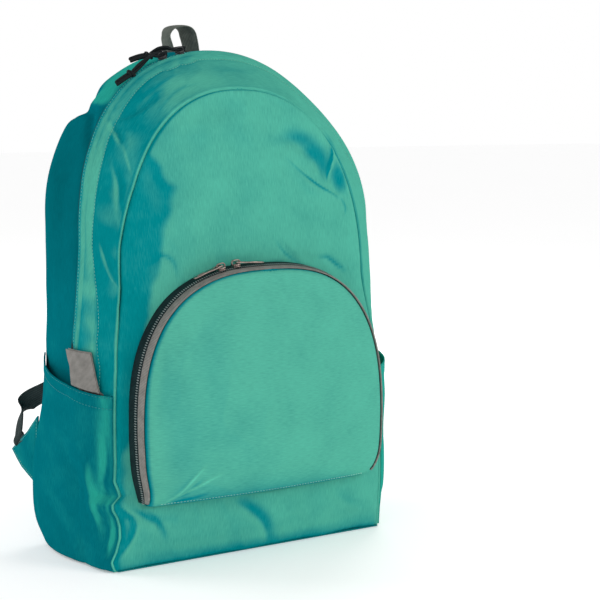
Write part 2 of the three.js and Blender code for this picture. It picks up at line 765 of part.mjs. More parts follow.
// A slider: its body lies on the chain, with a bridge over the middle that runs along the zip
function sliderGeometry() {
  const outline = roundedRectangle(new THREE.Shape(), -SLIDER_LENGTH / 2, -SLIDER_WIDTH / 2,
    SLIDER_LENGTH / 2, SLIDER_WIDTH / 2, SLIDER_WIDTH / 4);
  const body = plate(outline, SLIDER_THICKNESS).translate(0, 0, SLIDER_THICKNESS / 2);
  const outlineIn = (inset, foot) => {
    const half = BRIDGE_LENGTH / 2 - inset;
    const top = BRIDGE_HEIGHT - inset;
    const rise = BRIDGE_HEIGHT / 2;
    const corners = [[half, foot], [half, rise], [half - rise / 2, top], [rise / 2 - half, top], [-half, rise], [-half, foot]];
    return corners.map(([x, y]) => new THREE.Vector2(x, y));
  };
  const arch = new THREE.Shape(outlineIn(0, -SLIDER_THICKNESS / 2));
  arch.holes.push(new THREE.Path(outlineIn(BRIDGE_WIRE, 0)));
  const bridge = plate(arch, BRIDGE_WIDTH).rotateX(Math.PI / 2).translate(0, 0, SLIDER_THICKNESS);
  return fused(body, bridge);
}

// Where a pull's crossbar lies under the bridge, above the slider's seat
const pullHinge = SLIDER_THICKNESS + PULL_THICKNESS / 2 + PULL_CLEARANCE;

// A pull lies along +X from its crossbar, which is on the origin
function pullGeometry() {
  const bar = PULL_THICKNESS;
  const outline = new THREE.Shape();
  const half = PULL_WIDTH / 2;
  outline.moveTo(-bar / 2, -half);
  outline.lineTo(PULL_LENGTH * 0.3, -half);
  outline.lineTo(PULL_LENGTH * 0.42, -half * 0.62);
  outline.lineTo(PULL_LENGTH * 0.9, -half * 0.78);
  outline.lineTo(PULL_LENGTH, -half * 0.4);
  outline.lineTo(PULL_LENGTH, half * 0.4);
  outline.lineTo(PULL_LENGTH * 0.9, half * 0.78);
  outline.lineTo(PULL_LENGTH * 0.42, half * 0.62);
  outline.lineTo(PULL_LENGTH * 0.3, half);
  outline.lineTo(-bar / 2, half);
  outline.closePath();
  const window = new THREE.Path();
  const windowHalf = BRIDGE_WIDTH / 2 + PULL_CLEARANCE;
  const windowEnd = Math.hypot(BRIDGE_LENGTH / 2, BRIDGE_HEIGHT) + PULL_CLEARANCE;
  window.moveTo(bar / 2, -windowHalf);
  window.lineTo(bar / 2, windowHalf);
  window.lineTo(windowEnd, windowHalf);
  window.lineTo(windowEnd, -windowHalf);
  window.closePath();
  outline.holes.push(window);
  return plate(outline, PULL_THICKNESS);
}

// The point on the pocket's chain at a distance from the middle, and the chain's frame there
function chainFrame(x) {
  const power = POCKET_LINE.squareness / 2;
  const spring = POCKET_FOOT + POCKET_LINE.spring * POCKET_HEIGHT;
  const share = (TAPE_WIDTH + SEAM_GAP + CHAIN_WIDTH / 2) / pocketStand;
  const spot = (at) => {
    const wide = pocketHalf - BAND_TAPER * share + CHAIN_RAISE;
    const facing = clamp(Math.abs(at) / wide, 0, 1) ** power;
    const up = Math.sqrt(1 - facing ** 2) ** (1 / power);
    const z = spring + (pocketTop - BAND_TAPER * share + CHAIN_RAISE - spring) * up;
    return vec(at, frontY(at, z) - SEAM_GAP - share * pocketStand, z);
  };
  return frameOn(spot(x - 2), spot(x), spot(x + 2), vec(0, 1, 0));
}

function addPocketSliders() {
  for (const [word, x, turn] of [['left', LEFT_SLIDER_X, -1], ['right', RIGHT_SLIDER_X, 1]]) {
    const frame = chainFrame(x);
    const seat = frame.here.clone().addScaledVector(frame.out, SEAM_GAP);
    place(addPiece(`${word}_pocket_slider`, sliderGeometry(), 'slider_metal'), frame, seat);
    const hinge = seat.clone().addScaledVector(frame.out, pullHinge);
    const tipFrame = chainFrame(x + turn * PULL_LENGTH);
    const rest = tipFrame.here.clone().addScaledVector(tipFrame.out, SEAM_GAP + PULL_THICKNESS);
    const reach = rest.sub(hinge);
    const ahead = frame.along.clone().multiplyScalar(turn);
    const drop = Math.atan2(-reach.dot(frame.out), reach.dot(ahead));
    const tilt = Math.min(drop, Math.atan((PULL_CLEARANCE - PULL_REST) / (SLIDER_LENGTH / 2)));
    const along = ahead.multiplyScalar(Math.cos(tilt)).addScaledVector(frame.out, -Math.sin(tilt));
    const side = frame.side.clone().multiplyScalar(turn);
    const out = along.clone().cross(side).normalize();
    place(addPiece(`${word}_pull`, pullGeometry(), 'slider_metal'), { along, side, out }, hinge);
  }
}

// Main sliders and their cord pulls, on the main zip near the crown
function mainZipFrame(x) {
  const spring = ZIP_LINE.spring * HEIGHT;
  const rise = ZIP_LINE.crown * HEIGHT - spring;
  const wide = lineHalf(ZIP_LINE, spring);
  const spot = (at) => {
    const off = at + CROWN_LEAN;
    const z = spring + rise * Math.sqrt(1 - clamp(Math.abs(off) / wide, 0, 1) ** 2);
    return vec(at, lineBack(ZIP_LINE, z) + ZIP_WIDTH / 2, z);
  };
  return frameOn(spot(x - 2), spot(x), spot(x + 2), vec(0, 1, 0));
}

function knotGeometry(tail, steps) {
  const lump = new THREE.SphereGeometry(KNOT_SIZE / 2, 8, 6).scale(1, 0.8, 0.8);
  const points = tail.map(({ x, y, z }) => vec(x, y, z));
  return fused(lump, cordAlong(points, CORD_DIAMETER, steps));
}

function addMainSliders() {
  const lift = SEAM_GAP * 2 + ZIP_THICKNESS + SIDE_PUFF * 0.1;
  const pulls = [
    { word: 'rear', x: REAR_SLIDER_X, route: REAR_CORD_ROUTE, tail: REAR_TAIL_ROUTE },
    { word: 'fore', x: FORE_SLIDER_X, route: FORE_CORD_ROUTE, tail: FORE_TAIL_ROUTE },
  ];
  for (const { word, x, route, tail } of pulls) {
    const frame = mainZipFrame(x);
    const seat = frame.here.clone().addScaledVector(frame.out, lift);
    place(addPiece(`${word}_slider`, sliderGeometry(), 'slider_metal'), frame, seat);
    const points = route.map((step) => vec(step.x, step.y, step.z).add(seat));
    addPiece(`${word}_cord`, cordAlong(points, CORD_DIAMETER, 12), 'black_cord');
    const heading = points.at(-1).clone().sub(points.at(-2)).normalize();
    const knot = addPiece(`${word}_knot`, knotGeometry(tail, 6), 'black_cord');
    knot.position.copy(points.at(-1)).addScaledVector(heading, KNOT_SIZE / 2 + SEAM_GAP);
  }
}

// Side pockets
const pocketSwell = (placeShare) => Math.sin((Math.PI * placeShare) / 2) ** 1.1;
const hemAt = (placeShare) => HEM_FRONT + (HEM_BACK - HEM_FRONT) * (placeShare / 2) ** 1.5;

function sideNormal(side, placeShare, z) {
  const step = 0.01;
  const a = sidePoint(side, clamp(placeShare - step, 0, 2), z);
  const b = sidePoint(side, clamp(placeShare + step, 0, 2), z);
  const c = sidePoint(side, placeShare, z + 1);
  const d = sidePoint(side, placeShare, z - 1);
  const normal = b.sub(a).cross(c.sub(d)).normalize();
  return normal.x * side < 0 ? normal.negate() : normal;
}

const SIDE_POCKET_PLACES = [0.04, 0.25, 0.5, 0.75, 1, 1.2, 1.4, 1.6, 1.8, 1.97];
const SIDE_POCKET_SHARES = [0.012, 0.12, 0.3, 0.5, 0.7, 0.86, 1];

function addSidePocket(word, side) {
  const spot = (placeShare, up, extra) => {
    const z = up * hemAt(placeShare);
    const swell = pocketSwell(placeShare) * (0.25 + 0.75 * up ** 1.4);
    const off = SIDE_POCKET_LIFT + SIDE_POCKET_BELLY * swell + extra;
    const normal = sideNormal(side, placeShare, Math.max(z, 2));
    normal.z = 0;
    return sidePoint(side, placeShare, z).addScaledVector(normal.normalize(), off);
  };
  const grid = (extra) => SIDE_POCKET_SHARES.map((up) =>
    SIDE_POCKET_PLACES.map((placeShare) => spot(placeShare, up, extra)));
  addPiece(`${word}_side_pocket`, slab(grid(CLOTH), grid(0)), 'side_cloth');
}

// The grey tab stands up from the left side pocket's hem, against the bag
function addTab() {
  const gussetWidth = sidePoint(-1, 0, HEM_FRONT).distanceTo(sidePoint(-1, 1, HEM_FRONT));
  const halfShare = TAB_WIDTH / 2 / gussetWidth;
  const spot = (placeShare, up, extra) => {
    const swell = pocketSwell(placeShare);
    const fall = 1 - 0.7 * up;
    const z = hemAt(placeShare) + SEAM_GAP + up * TAB_HEIGHT;
    const normal = sideNormal(-1, placeShare, z);
    return sidePoint(-1, placeShare, z)
      .addScaledVector(normal, SIDE_POCKET_LIFT + SIDE_POCKET_BELLY * swell * fall + extra);
  };
  const grid = (extra) => [0, 0.5, 1].map((up) =>
    [TAB_PLACE - halfShare, TAB_PLACE, TAB_PLACE + halfShare].map((share) => spot(share, up, extra)));
  addPiece('hem_tab', slab(grid(TAB_THICKNESS), grid(0)), 'grey_tape');
}

// Haul loop over the back seam's crown
function addHaulLoop() {
  const foot = BACK_SEAM.crown * HEIGHT;
  const y = lineBack(BACK_SEAM, foot) - LOOP_WIDTH / 2;
  const half = LOOP_SPAN / 2;
  const lift = SEAM_GAP + WEBBING_THICKNESS / 2;
  const droop = foot - lineCrownHeight(half);
  const points = [
    vec(-CROWN_LEAN - half, y, foot - droop + lift + 0.6),
    vec(-CROWN_LEAN - half * 1.12, y, foot + LOOP_RISE * 0.45),
    vec(-CROWN_LEAN - half * 0.85, y, foot + LOOP_RISE * 0.85),
    vec(-CROWN_LEAN, y, foot + LOOP_RISE),
    vec(-CROWN_LEAN + half * 0.85, y, foot + LOOP_RISE * 0.8),
    vec(-CROWN_LEAN + half * 1.1, y, foot + LOOP_RISE * 0.4),
    vec(-CROWN_LEAN + half, y, foot - droop + lift + 0.6),
  ];
  addPiece('haul_loop', ribbon(points, vec(0, 1, 0), vec(0, 1, 0), LOOP_WIDTH, WEBBING_THICKNESS, 18), 'webbing');
}

// Height of the back seam's crown at a distance from its middle
function lineCrownHeight(off) {
  const spring = BACK_SEAM.spring * HEIGHT;
  const rise = BACK_SEAM.crown * HEIGHT - spring;
  return spring + rise * Math.sqrt(1 - (off / lineHalf(BACK_SEAM, spring)) ** 2);
}

// Shoulder straps, ladder buckles and lower webbing
function routePoint(side, { side: wide, off, up }) {
  const z = up * HEIGHT;
  return vec(side * wide * WIDTH, lineBack(BACK_SEAM, z) + off, z);
}

function buckleGeometry() {
  const half = BUCKLE_WIDTH / 2;
  const tall = BUCKLE_LENGTH / 2;
  const frame = roundedRectangle(new THREE.Shape(), -half, -tall, half, tall, BUCKLE_BAR * 0.8);
  const slot = (tall * 2 - 3 * BUCKLE_BAR) / 2;
  for (const low of [-tall + BUCKLE_BAR, tall - BUCKLE_BAR - slot]) {
    const hole = new THREE.Path();
    hole.moveTo(-half + BUCKLE_BAR, low);
    hole.lineTo(-half + BUCKLE_BAR, low + slot);
    hole.lineTo(half - BUCKLE_BAR, low + slot);
    hole.lineTo(half - BUCKLE_BAR, low);
    hole.closePath();
    frame.holes.push(hole);
  }
  return plate(frame, BUCKLE_THICKNESS);
}

function addStrap(word, side) {
  const route = STRAP_ROUTE.map((row) => routePoint(side, row));
  route[0].y = backY(route[0].x, route[0].z) + STRAP_THICKNESS / 2 + SEAM_GAP * 3;
  const across = vec(1, 0, 0);
  const width = (share) => STRAP_WIDTH * (1 - 0.42 * share ** 3);
  addPiece(`${word}_shoulder_strap`, ribbon(route, across, across, width, STRAP_THICKNESS), 'side_cloth');
  const down = route.at(-1).clone().sub(route.at(-2)).normalize();
  const seat = route.at(-1).clone().addScaledVector(down, BUCKLE_LENGTH / 2 + SEAM_GAP);
  const turned = across.clone().addScaledVector(down, -across.dot(down)).normalize();
  const up = down.clone().negate();
  const out = turned.clone().cross(up).normalize();
  place(addPiece(`${word}_buckle`, buckleGeometry(), 'buckle_plastic'), { along: turned, side: up, out }, seat);
  const start = seat.clone().addScaledVector(down, BUCKLE_LENGTH / 2 + SEAM_GAP);
  const lower = WEBBING_ROUTE.slice(1).map((row) => routePoint(side, row));
  const anchor = anchorOutline();
  const hem = anchor[3].clone().sub(anchor[2]).normalize();
  const hemMiddle = mix(anchor[2], anchor[3], 0.5);
  const away = vec(-hem.y, hem.x, 0);
  const entry = hemMiddle.clone().addScaledVector(away, away.x < 0 ? -SEAM_GAP : SEAM_GAP);
  const end = vec(side * anchorX(), entry.x, entry.y);
  const approach = end.clone().addScaledVector(vec(0, away.x, away.y), away.x < 0 ? -WEBBING_WIDTH / 3 : WEBBING_WIDTH / 3);
  const lowAcross = vec(0, hem.x, hem.y).multiplyScalar(-1);
  addPiece(`${word}_lower_webbing`,
    ribbon([start, start.clone().addScaledVector(down, WEBBING_WIDTH / 3), ...lower.slice(0, -1), approach, end], turned.clone().multiplyScalar(side), lowAcross,
      WEBBING_WIDTH, WEBBING_THICKNESS, 20), 'webbing');
  addAnchor(word, side);
}

// The cloth wing in the back seam that holds the lower webbing, as points of (Y, Z)
const anchorX = () => lineHalf(BACK_SEAM, 0.16 * HEIGHT) - ANCHOR_INSET;

function anchorOutline() {
  return ANCHOR_OUTLINE.map(({ off, up }) => {
    const z = up * HEIGHT;
    return new THREE.Vector2(lineBack(BACK_SEAM, z) + off, z);
  });
}

function addAnchor(word, side) {
  const wing = plate(new THREE.Shape(anchorOutline()), ANCHOR_THICKNESS);
  const turn = new THREE.Matrix4().makeBasis(vec(0, 1, 0), vec(0, 0, 1), vec(1, 0, 0));
  wing.applyMatrix4(turn).translate(side * anchorX(), 0, 0);
  addPiece(`${word}_strap_anchor`, wing, 'side_cloth');
}

addBody();
addMainZip();
addPocket();
addPocketSliders();
addMainSliders();
addTab();
addHaulLoop();
for (const [word, side] of [['left', -1], ['right', 1]]) {
  addSidePocket(word, side);
  addStrap(word, side);
}

export default bag;
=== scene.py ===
import math
from collections import namedtuple

import bmesh
import bpy
import numpy as np
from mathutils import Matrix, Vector


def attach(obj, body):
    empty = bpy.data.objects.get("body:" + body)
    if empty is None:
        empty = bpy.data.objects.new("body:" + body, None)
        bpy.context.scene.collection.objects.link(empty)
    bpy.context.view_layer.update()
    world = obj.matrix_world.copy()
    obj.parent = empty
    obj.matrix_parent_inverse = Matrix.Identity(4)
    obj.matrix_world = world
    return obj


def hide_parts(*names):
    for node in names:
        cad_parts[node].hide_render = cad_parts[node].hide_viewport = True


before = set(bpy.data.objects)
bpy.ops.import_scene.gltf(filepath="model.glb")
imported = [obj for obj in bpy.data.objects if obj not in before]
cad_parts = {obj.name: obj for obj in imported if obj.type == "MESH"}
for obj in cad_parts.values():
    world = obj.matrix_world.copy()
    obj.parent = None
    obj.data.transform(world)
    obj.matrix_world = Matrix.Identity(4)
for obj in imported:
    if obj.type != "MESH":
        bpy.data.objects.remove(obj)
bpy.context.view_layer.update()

# Sizes in metres, the same as the construction's
WIDTH = 0.300
HEIGHT = 0.430
DEPTH = 0.130
CROWN_LEAN = 0.006
FRONT_BULGE = 0.016
BACK_BULGE = 0.007
LIP_PUFF = 0.003
SIDE_PUFF = 0.006
SEAM_GAP = 0.0003
ZIP_WIDTH = 0.008
ZIP_THICKNESS = 0.0012
ZIP_FOOT = 0.4
POCKET_FOOT = 0.053
POCKET_HEIGHT = 0.199
POCKET_TOP = POCKET_FOOT + POCKET_HEIGHT
POCKET_MARGIN = 0.010
POCKET_BULGE = 0.008
POCKET_ZIP_START = 0.005
TAPE_WIDTH = 0.007
CHAIN_WIDTH = 0.004
BINDING_WIDTH = 0.007
BAND_THICKNESS = 0.0012
BAND_TAPER = 0.003
CHAIN_RAISE = 0.0008
POCKET_STAND = TAPE_WIDTH + CHAIN_WIDTH + BINDING_WIDTH + 2 * SEAM_GAP
BAG_MIDDLE = (0, 0, HEIGHT / 2)
SIDE_POCKET_LIFT = 0.00012
SIDE_POCKET_BELLY = 0.009
HEM_FRONT = 0.148
HEM_BACK = 0.172
TAB_WIDTH = 0.030
TAB_HEIGHT = 0.031
TAB_PLACE = 0.62
LOOP_WIDTH = 0.020
LOOP_SPAN = 0.046
LOOP_RISE = 0.025
WEBBING_WIDTH = 0.018
WEBBING_THICKNESS = 0.0016
STRAP_WIDTH = 0.055
STRAP_THICKNESS = 0.008
BUCKLE_WIDTH = 0.030
BUCKLE_LENGTH = 0.026
BUCKLE_THICKNESS = 0.004
BUCKLE_BAR = 0.004
ANCHOR_THICKNESS = 0.003
ANCHOR_INSET = 0.004
CORD_DIAMETER = 0.0034
KNOT_SIZE = 0.009
REAR_SLIDER_X = -0.036
FORE_SLIDER_X = -0.053
LEFT_SLIDER_X = -0.042
RIGHT_SLIDER_X = -0.028

# Sizes that differ from the construction's: thinner cloth, and a rounder foot of the pocket
WALL = 0.0009
POCKET_ROUND = 0.026

# The seam lines: heights are shares of HEIGHT, half widths of WIDTH, places from front to back of
# DEPTH. Above its spring a line closes over the crown as a squared ellipse.
Row = namedtuple("Row", "up half back")
Line = namedtuple("Line", "spring crown squareness rows")
FRONT_SEAM = Line(0.55, 0.93, 2.25, [
    Row(0, 0.447, -0.5),
    Row(0.12, 0.452, -0.51),
    Row(0.3, 0.448, -0.5),
    Row(0.42, 0.433, -0.485),
    Row(0.55, 0.4, -0.46),
    Row(0.75, 0.4, -0.435),
    Row(0.93, 0.4, -0.4),
])
ZIP_LINE = Line(0.66, 1, 2, [
    Row(0, 0.477, -0.23),
    Row(0.14, 0.494, -0.225),
    Row(0.35, 0.502, -0.22),
    Row(0.66, 0.493, -0.2),
    Row(0.85, 0.493, -0.13),
    Row(1, 0.493, -0.06),
])
BACK_SEAM = Line(0.67, 1.003, 2, [
    Row(0, 0.478, 0.4),
    Row(0.05, 0.486, 0.535),
    Row(0.12, 0.488, 0.56),
    Row(0.19, 0.486, 0.53),
    Row(0.32, 0.473, 0.415),
    Row(0.45, 0.465, 0.4),
    Row(0.67, 0.46, 0.4),
    Row(1.003, 0.46, 0.385),
])
POCKET_LINE = Line(0.3, 1, 2.6, [
    Row(0, 0.93, 0),
    Row(0.15, 0.985, 0),
    Row(0.3, 1, 0),
])
STRAIGHT_SHARE = 0.47

# Routes behind the bag: side is a share of WIDTH, off is metres behind the back seam, up a share of
# HEIGHT
Stop = namedtuple("Stop", "side off up")
STRAP_ROUTE = [
    Stop(0.145, 0.008, 0.925),
    Stop(0.15, 0.014, 0.87),
    Stop(0.2, 0.029, 0.78),
    Stop(0.24, 0.037, 0.66),
    Stop(0.265, 0.037, 0.54),
    Stop(0.275, 0.030, 0.45),
]
WEBBING_ROUTE = [
    Stop(0.325, 0.034, 0.335),
    Stop(0.385, 0.050, 0.295),
    Stop(0.44, 0.060, 0.262),
]
ANCHOR_OUTLINE = [
    Stop(0, 0.0012, 0.112),
    Stop(0, 0.034, 0.136),
    Stop(0, 0.056, 0.167),
    Stop(0, 0.026, 0.218),
    Stop(0, 0.009, 0.26),
    Stop(0, 0.0025, 0.19),
]

# Cord pulls, from the slider's bridge outwards, in metres from the slider's seat
REAR_CORD_ROUTE = [
    (0.0052, 0.0004, 0.0046),
    (0.0, 0.0004, 0.0044),
    (-0.0063, 0.0012, 0.0040),
    (-0.0105, 0.0040, 0.0052),
    (-0.0165, 0.0062, 0.0040),
    (-0.0225, 0.0066, 0.0008),
]
FORE_CORD_ROUTE = [
    (0.0040, 0, 0.0046),
    (-0.0063, 0, 0.0034),
    (-0.011, -0.0006, 0.0028),
    (-0.0165, -0.0016, -0.0006),
    (-0.0225, -0.0026, -0.0048),
    (-0.0290, -0.0038, -0.0100),
]
REAR_TAIL_ROUTE = [(0, 0, 0), (-0.009, -0.001, -0.0015), (-0.0185, -0.001, -0.0045)]
FORE_TAIL_ROUTE = [(0, 0, 0), (-0.008, -0.0015, -0.004), (-0.0155, -0.0025, -0.0085)]


# The bag's form


def column(rows, name, up):
    """Smooth value of one column of a table at height shares."""
    ups = np.array([row.up for row in rows], float)
    values = np.array([getattr(row, name) for row in rows], float)
    order = np.arange(len(rows))
    before = np.maximum(order - 1, 0)
    after = np.minimum(order + 1, len(rows) - 1)
    slopes = (values[after] - values[before]) / (ups[after] - ups[before])
    up = np.asarray(up, float)
    i = np.clip(np.searchsorted(ups, up, side="left") - 1, 0, len(rows) - 2)
    span = ups[i + 1] - ups[i]
    t = np.clip((up - ups[i]) / span, 0, 1)
    rise = values[i + 1] - values[i]
    eased = values[i] + rise * t * t * (3 - 2 * t)
    return eased + span * slopes[i] * t * (1 - t) ** 2 - span * slopes[i + 1] * t * t * (1 - t)


def lean_at(z):
    return -CROWN_LEAN * np.maximum(np.asarray(z, float) / HEIGHT, 0) ** 3


def line_back(line, z):
    return DEPTH * column(line.rows, "back", np.asarray(z, float) / HEIGHT)


def line_half(line, z):
    up = np.asarray(z, float) / HEIGHT
    side = WIDTH * column(line.rows, "half", np.minimum(up, line.spring))
    t = np.clip((up - line.spring) / (line.crown - line.spring), 0, 1)
    return side * (1 - t ** line.squareness) ** (1 / line.squareness)


Rising = namedtuple("Rising", "z half facing")


def rising(line, step=0.002):
    """A seam line from its foot to the crown. facing is 1 where it faces sideways and 0 at the top."""
    straight_top = STRAIGHT_SHARE * HEIGHT
    spring = line.spring * HEIGHT
    crown = line.crown * HEIGHT
    straight = np.linspace(0, straight_top, round(straight_top / step), endpoint=False)
    bridge = np.linspace(straight_top, spring, round(0.06 / step), endpoint=False)
    angle = np.linspace(0, math.pi / 2, round(0.22 / step) + 1)
    power = 2 / line.squareness
    facing = np.cos(angle)
    facing[-1] = 0
    wide = line_half(line, spring)
    z = np.concatenate([straight, bridge, spring + (crown - spring) * np.sin(angle) ** power])
    below = np.concatenate([straight, bridge])
    half = np.concatenate([line_half(line, below), wide * facing ** power])
    return Rising(z, half, np.concatenate([np.ones(len(below)), facing]))


# How far the slack left side of the main zip's line lies forward: metres up, metres forward
Slack = namedtuple("Slack", "up forward")
ZIP_SLACK = [
    Slack(0.18, 0),
    Slack(0.22, 0.006),
    Slack(0.27, 0.012),
    Slack(0.31, 0.014),
    Slack(0.35, 0.012),
    Slack(0.39, 0.006),
    Slack(0.42, 0),
]
SLACK_INWARD = 0.2


def whole_line(line, step=0.002):
    """Places, outward directions and facing of a seam line, left foot to right foot."""
    up = rising(line, step)
    forward = table_value(ZIP_SLACK, up.z)
    sides = []
    for side in (-1, 1):
        at = np.stack([side * up.half + lean_at(up.z), line_back(line, up.z), up.z], axis=1)
        if line is ZIP_LINE and side < 0:
            at += np.outer(forward, [SLACK_INWARD, -1, 0])
        lift = np.sqrt(np.maximum(1 - up.facing ** 2, 0))
        out = np.stack([side * up.facing, np.zeros(len(up.z)), lift], axis=1)
        sides.append((at, out, up.facing))
    (left_at, left_out, left_facing), (right_at, right_out, right_facing) = sides
    at = np.concatenate([left_at, right_at[-2::-1]])
    out = np.concatenate([left_out, right_out[-2::-1]])
    return at, out, np.concatenate([left_facing, right_facing[-2::-1]])


def belly_share(z, crown):
    return np.sin(math.pi * np.clip(np.asarray(z, float) / crown, 0, 1) ** 0.75)


def cross_share(x, half):
    half = np.maximum(half, 1e-9)
    return np.maximum(1 - (x / half) ** 2, 0) ** 0.8


def front_y(x, z):
    belly = belly_share(z, FRONT_SEAM.crown * HEIGHT)
    across = cross_share(x - lean_at(z), line_half(FRONT_SEAM, z))
    return line_back(FRONT_SEAM, z) - FRONT_BULGE * belly * across


def back_y(x, z):
    belly = belly_share(z, BACK_SEAM.crown * HEIGHT)
    across = cross_share(x - lean_at(z), line_half(BACK_SEAM, z))
    return line_back(BACK_SEAM, z) + BACK_BULGE * belly * across


def panel_grid(line, depth_at, step=0.0017, columns=150):
    """A panel's grid between its left and right edges, one row for each height."""
    up = rising(line, step)
    share = np.linspace(-1, 1, columns + 1)
    x = up.half[:, None] * share + lean_at(up.z)[:, None]
    z = np.broadcast_to(up.z[:, None], x.shape)
    return np.stack([x, depth_at(x, z), z], axis=2)


def gusset_grid(start_line, end_line, puff, shares, step=0.002):
    start_at, start_out, facing = whole_line(start_line, step)
    end_at, end_out, _ = whole_line(end_line, step)
    out = unit(start_out + end_out)
    fullness = puff * (0.08 + 0.92 * facing)
    share = np.asarray(shares)[None, :, None]
    grid = start_at[:, None] * (1 - share) + end_at[:, None] * share
    return grid + out[:, None] * (fullness[:, None, None] * 4 * share * (1 - share))


def side_point(side, place, z):
    """A point on the bag's side: place is 0 at the front seam, 1 at the zip line, 2 at the back seam."""
    place, z = np.broadcast_arrays(np.asarray(place, float), np.asarray(z, float))
    lines = [
        np.stack([side * line_half(line, z) + lean_at(z), line_back(line, z), z], axis=-1)
        for line in (FRONT_SEAM, ZIP_LINE, BACK_SEAM)
    ]
    first = (place <= 1)[..., None]
    share = np.where(place <= 1, place, place - 1)[..., None]
    low = np.where(first, lines[0], lines[1])
    high = np.where(first, lines[1], lines[2])
    point = low * (1 - share) + high * share
    puff = np.where(first, LIP_PUFF, SIDE_PUFF)[..., 0]
    point[..., 0] += side * puff * 4 * share[..., 0] * (1 - share[..., 0])
    return point


def unit(vectors):
    return vectors / np.maximum(np.linalg.norm(vectors, axis=-1, keepdims=True), 1e-12)


def side_normal(side, place, z, flat=False):
    step = 0.01
    rise = 0.001
    behind = side_point(side, np.minimum(place + step, 2), z)
    across = behind - side_point(side, np.maximum(place - step, 0), z)
    up = side_point(side, place, z + rise) - side_point(side, place, z - rise)
    normal = unit(np.cross(across, up))
    normal = np.where(normal[..., :1] * side < 0, -normal, normal)
    if flat:
        normal = unit(normal * np.array([1, 1, 0]))
    return normal


def pocket_swell(place):
    return np.sin(math.pi * np.asarray(place) / 2) ** 1.1


def hem_at(place):
    return HEM_FRONT + (HEM_BACK - HEM_FRONT) * (np.asarray(place) / 2) ** 1.5


def stand_at(z):
    u = np.clip((np.asarray(z, float) - POCKET_FOOT) / POCKET_ROUND, 0, 1)
    return POCKET_STAND * np.sqrt(1 - (1 - u) ** 2)


POCKET_SPRING = POCKET_FOOT + POCKET_LINE.spring * POCKET_HEIGHT
POCKET_HALF = float(line_half(FRONT_SEAM, POCKET_SPRING)) - POCKET_MARGIN


def pocket_rising(foot, draw_in, step=0.0016):
    """Half widths and heights of the pocket's outline from a foot height to its crown."""
    z = np.linspace(foot, POCKET_SPRING, round((POCKET_SPRING - foot) / step), endpoint=False)
    up = (z - POCKET_FOOT) / POCKET_HEIGHT
    half = POCKET_HALF * column(POCKET_LINE.rows, "half", up) - draw_in
    angle = np.linspace(0, math.pi / 2, round(0.22 / step) + 1)
    power = 2 / POCKET_LINE.squareness
    facing = np.cos(angle)
    facing[-1] = 0
    arc_half = (POCKET_HALF - draw_in) * facing ** power
    arc_z = POCKET_SPRING + (POCKET_TOP - draw_in - POCKET_SPRING) * np.sin(angle) ** power
    return np.concatenate([half, arc_half]), np.concatenate([z, arc_z])


def pocket_arch(draw_in, step=0.0016):
    half, z = pocket_rising(POCKET_FOOT + POCKET_ZIP_START, draw_in, step)
    return np.concatenate([-half, half[-2::-1]]), np.concatenate([z, z[-2::-1]])


def band_line(share, sink, step=0.0016):
    """A line along the pocket's zip wall: share 0 lies on the front panel, 1 at the pocket's face."""
    near_x, near_z = pocket_arch(sink, step)
    far_x, far_z = pocket_arch(sink + BAND_TAPER, step)
    near = np.stack([near_x, front_y(near_x, near_z) - SEAM_GAP, near_z], axis=1)
    stand = SEAM_GAP + stand_at(near_z)
    far = np.stack([far_x, front_y(far_x, far_z) - stand, far_z], axis=1)
    return near * (1 - share) + far * share


def smooth_path(points, count=60):
    """A smooth line through a few points, of any number of axes."""
    points = np.asarray(points, float)
    ends = [2 * points[0] - points[1], *points, 2 * points[-1] - points[-2]]
    p = np.array(ends)
    t = np.linspace(0, len(points) - 1, count)
    i = np.minimum(t.astype(int), len(points) - 2)
    s = (t - i)[:, None]
    a, b, c, d = p[i], p[i + 1], p[i + 2], p[i + 3]
    cubic = (-a + 3 * b - 3 * c + d) * s ** 3 + (2 * a - 5 * b + 4 * c - d) * s ** 2
    return 0.5 * (cubic + (c - a) * s + 2 * b)


# Folds, wrinkles and shade


def noise(points, size, seed):
    """Smooth noise from about -1 to 1 at points of three axes, with features of a size in metres."""
    scaled = np.asarray(points, float) / size
    cell = np.floor(scaled).astype(np.int64)
    inside = scaled - cell
    eased = inside ** 3 * (inside * (inside * 6 - 15) + 10)
    total = np.zeros(scaled.shape[:-1])
    spread = np.array([73856093, 19349663, 83492791], np.int64)
    for corner in np.ndindex(2, 2, 2):
        step = np.array(corner)
        code = (cell + step) @ spread + seed * 2654435761
        code = (code ^ (code >> 13)) * 1274126177
        code = code ^ (code >> 16)
        slope = np.stack([(code >> shift & 1023) / 511.5 - 1 for shift in (0, 10, 20)], axis=-1)
        weight = np.prod(np.where(step == 1, eased, 1 - eased), axis=-1)
        total += weight * np.sum(slope * (inside - step), axis=-1)
    return total * 1.4


def crumple(points, size, seed):
    """Thin folded ridges between flat patches, as in cloth that has been packed small."""
    bend = np.stack([noise(points, size * 1.6, seed + k) for k in (1, 2, 3)], axis=-1)
    warped = np.asarray(points) + bend * size * 0.5
    return 1 - 2 * np.abs(noise(warped, size, seed)) ** 0.7


Fold = namedtuple("Fold", "path height left right")
Patch = namedtuple("Patch", "u v wide tall change")


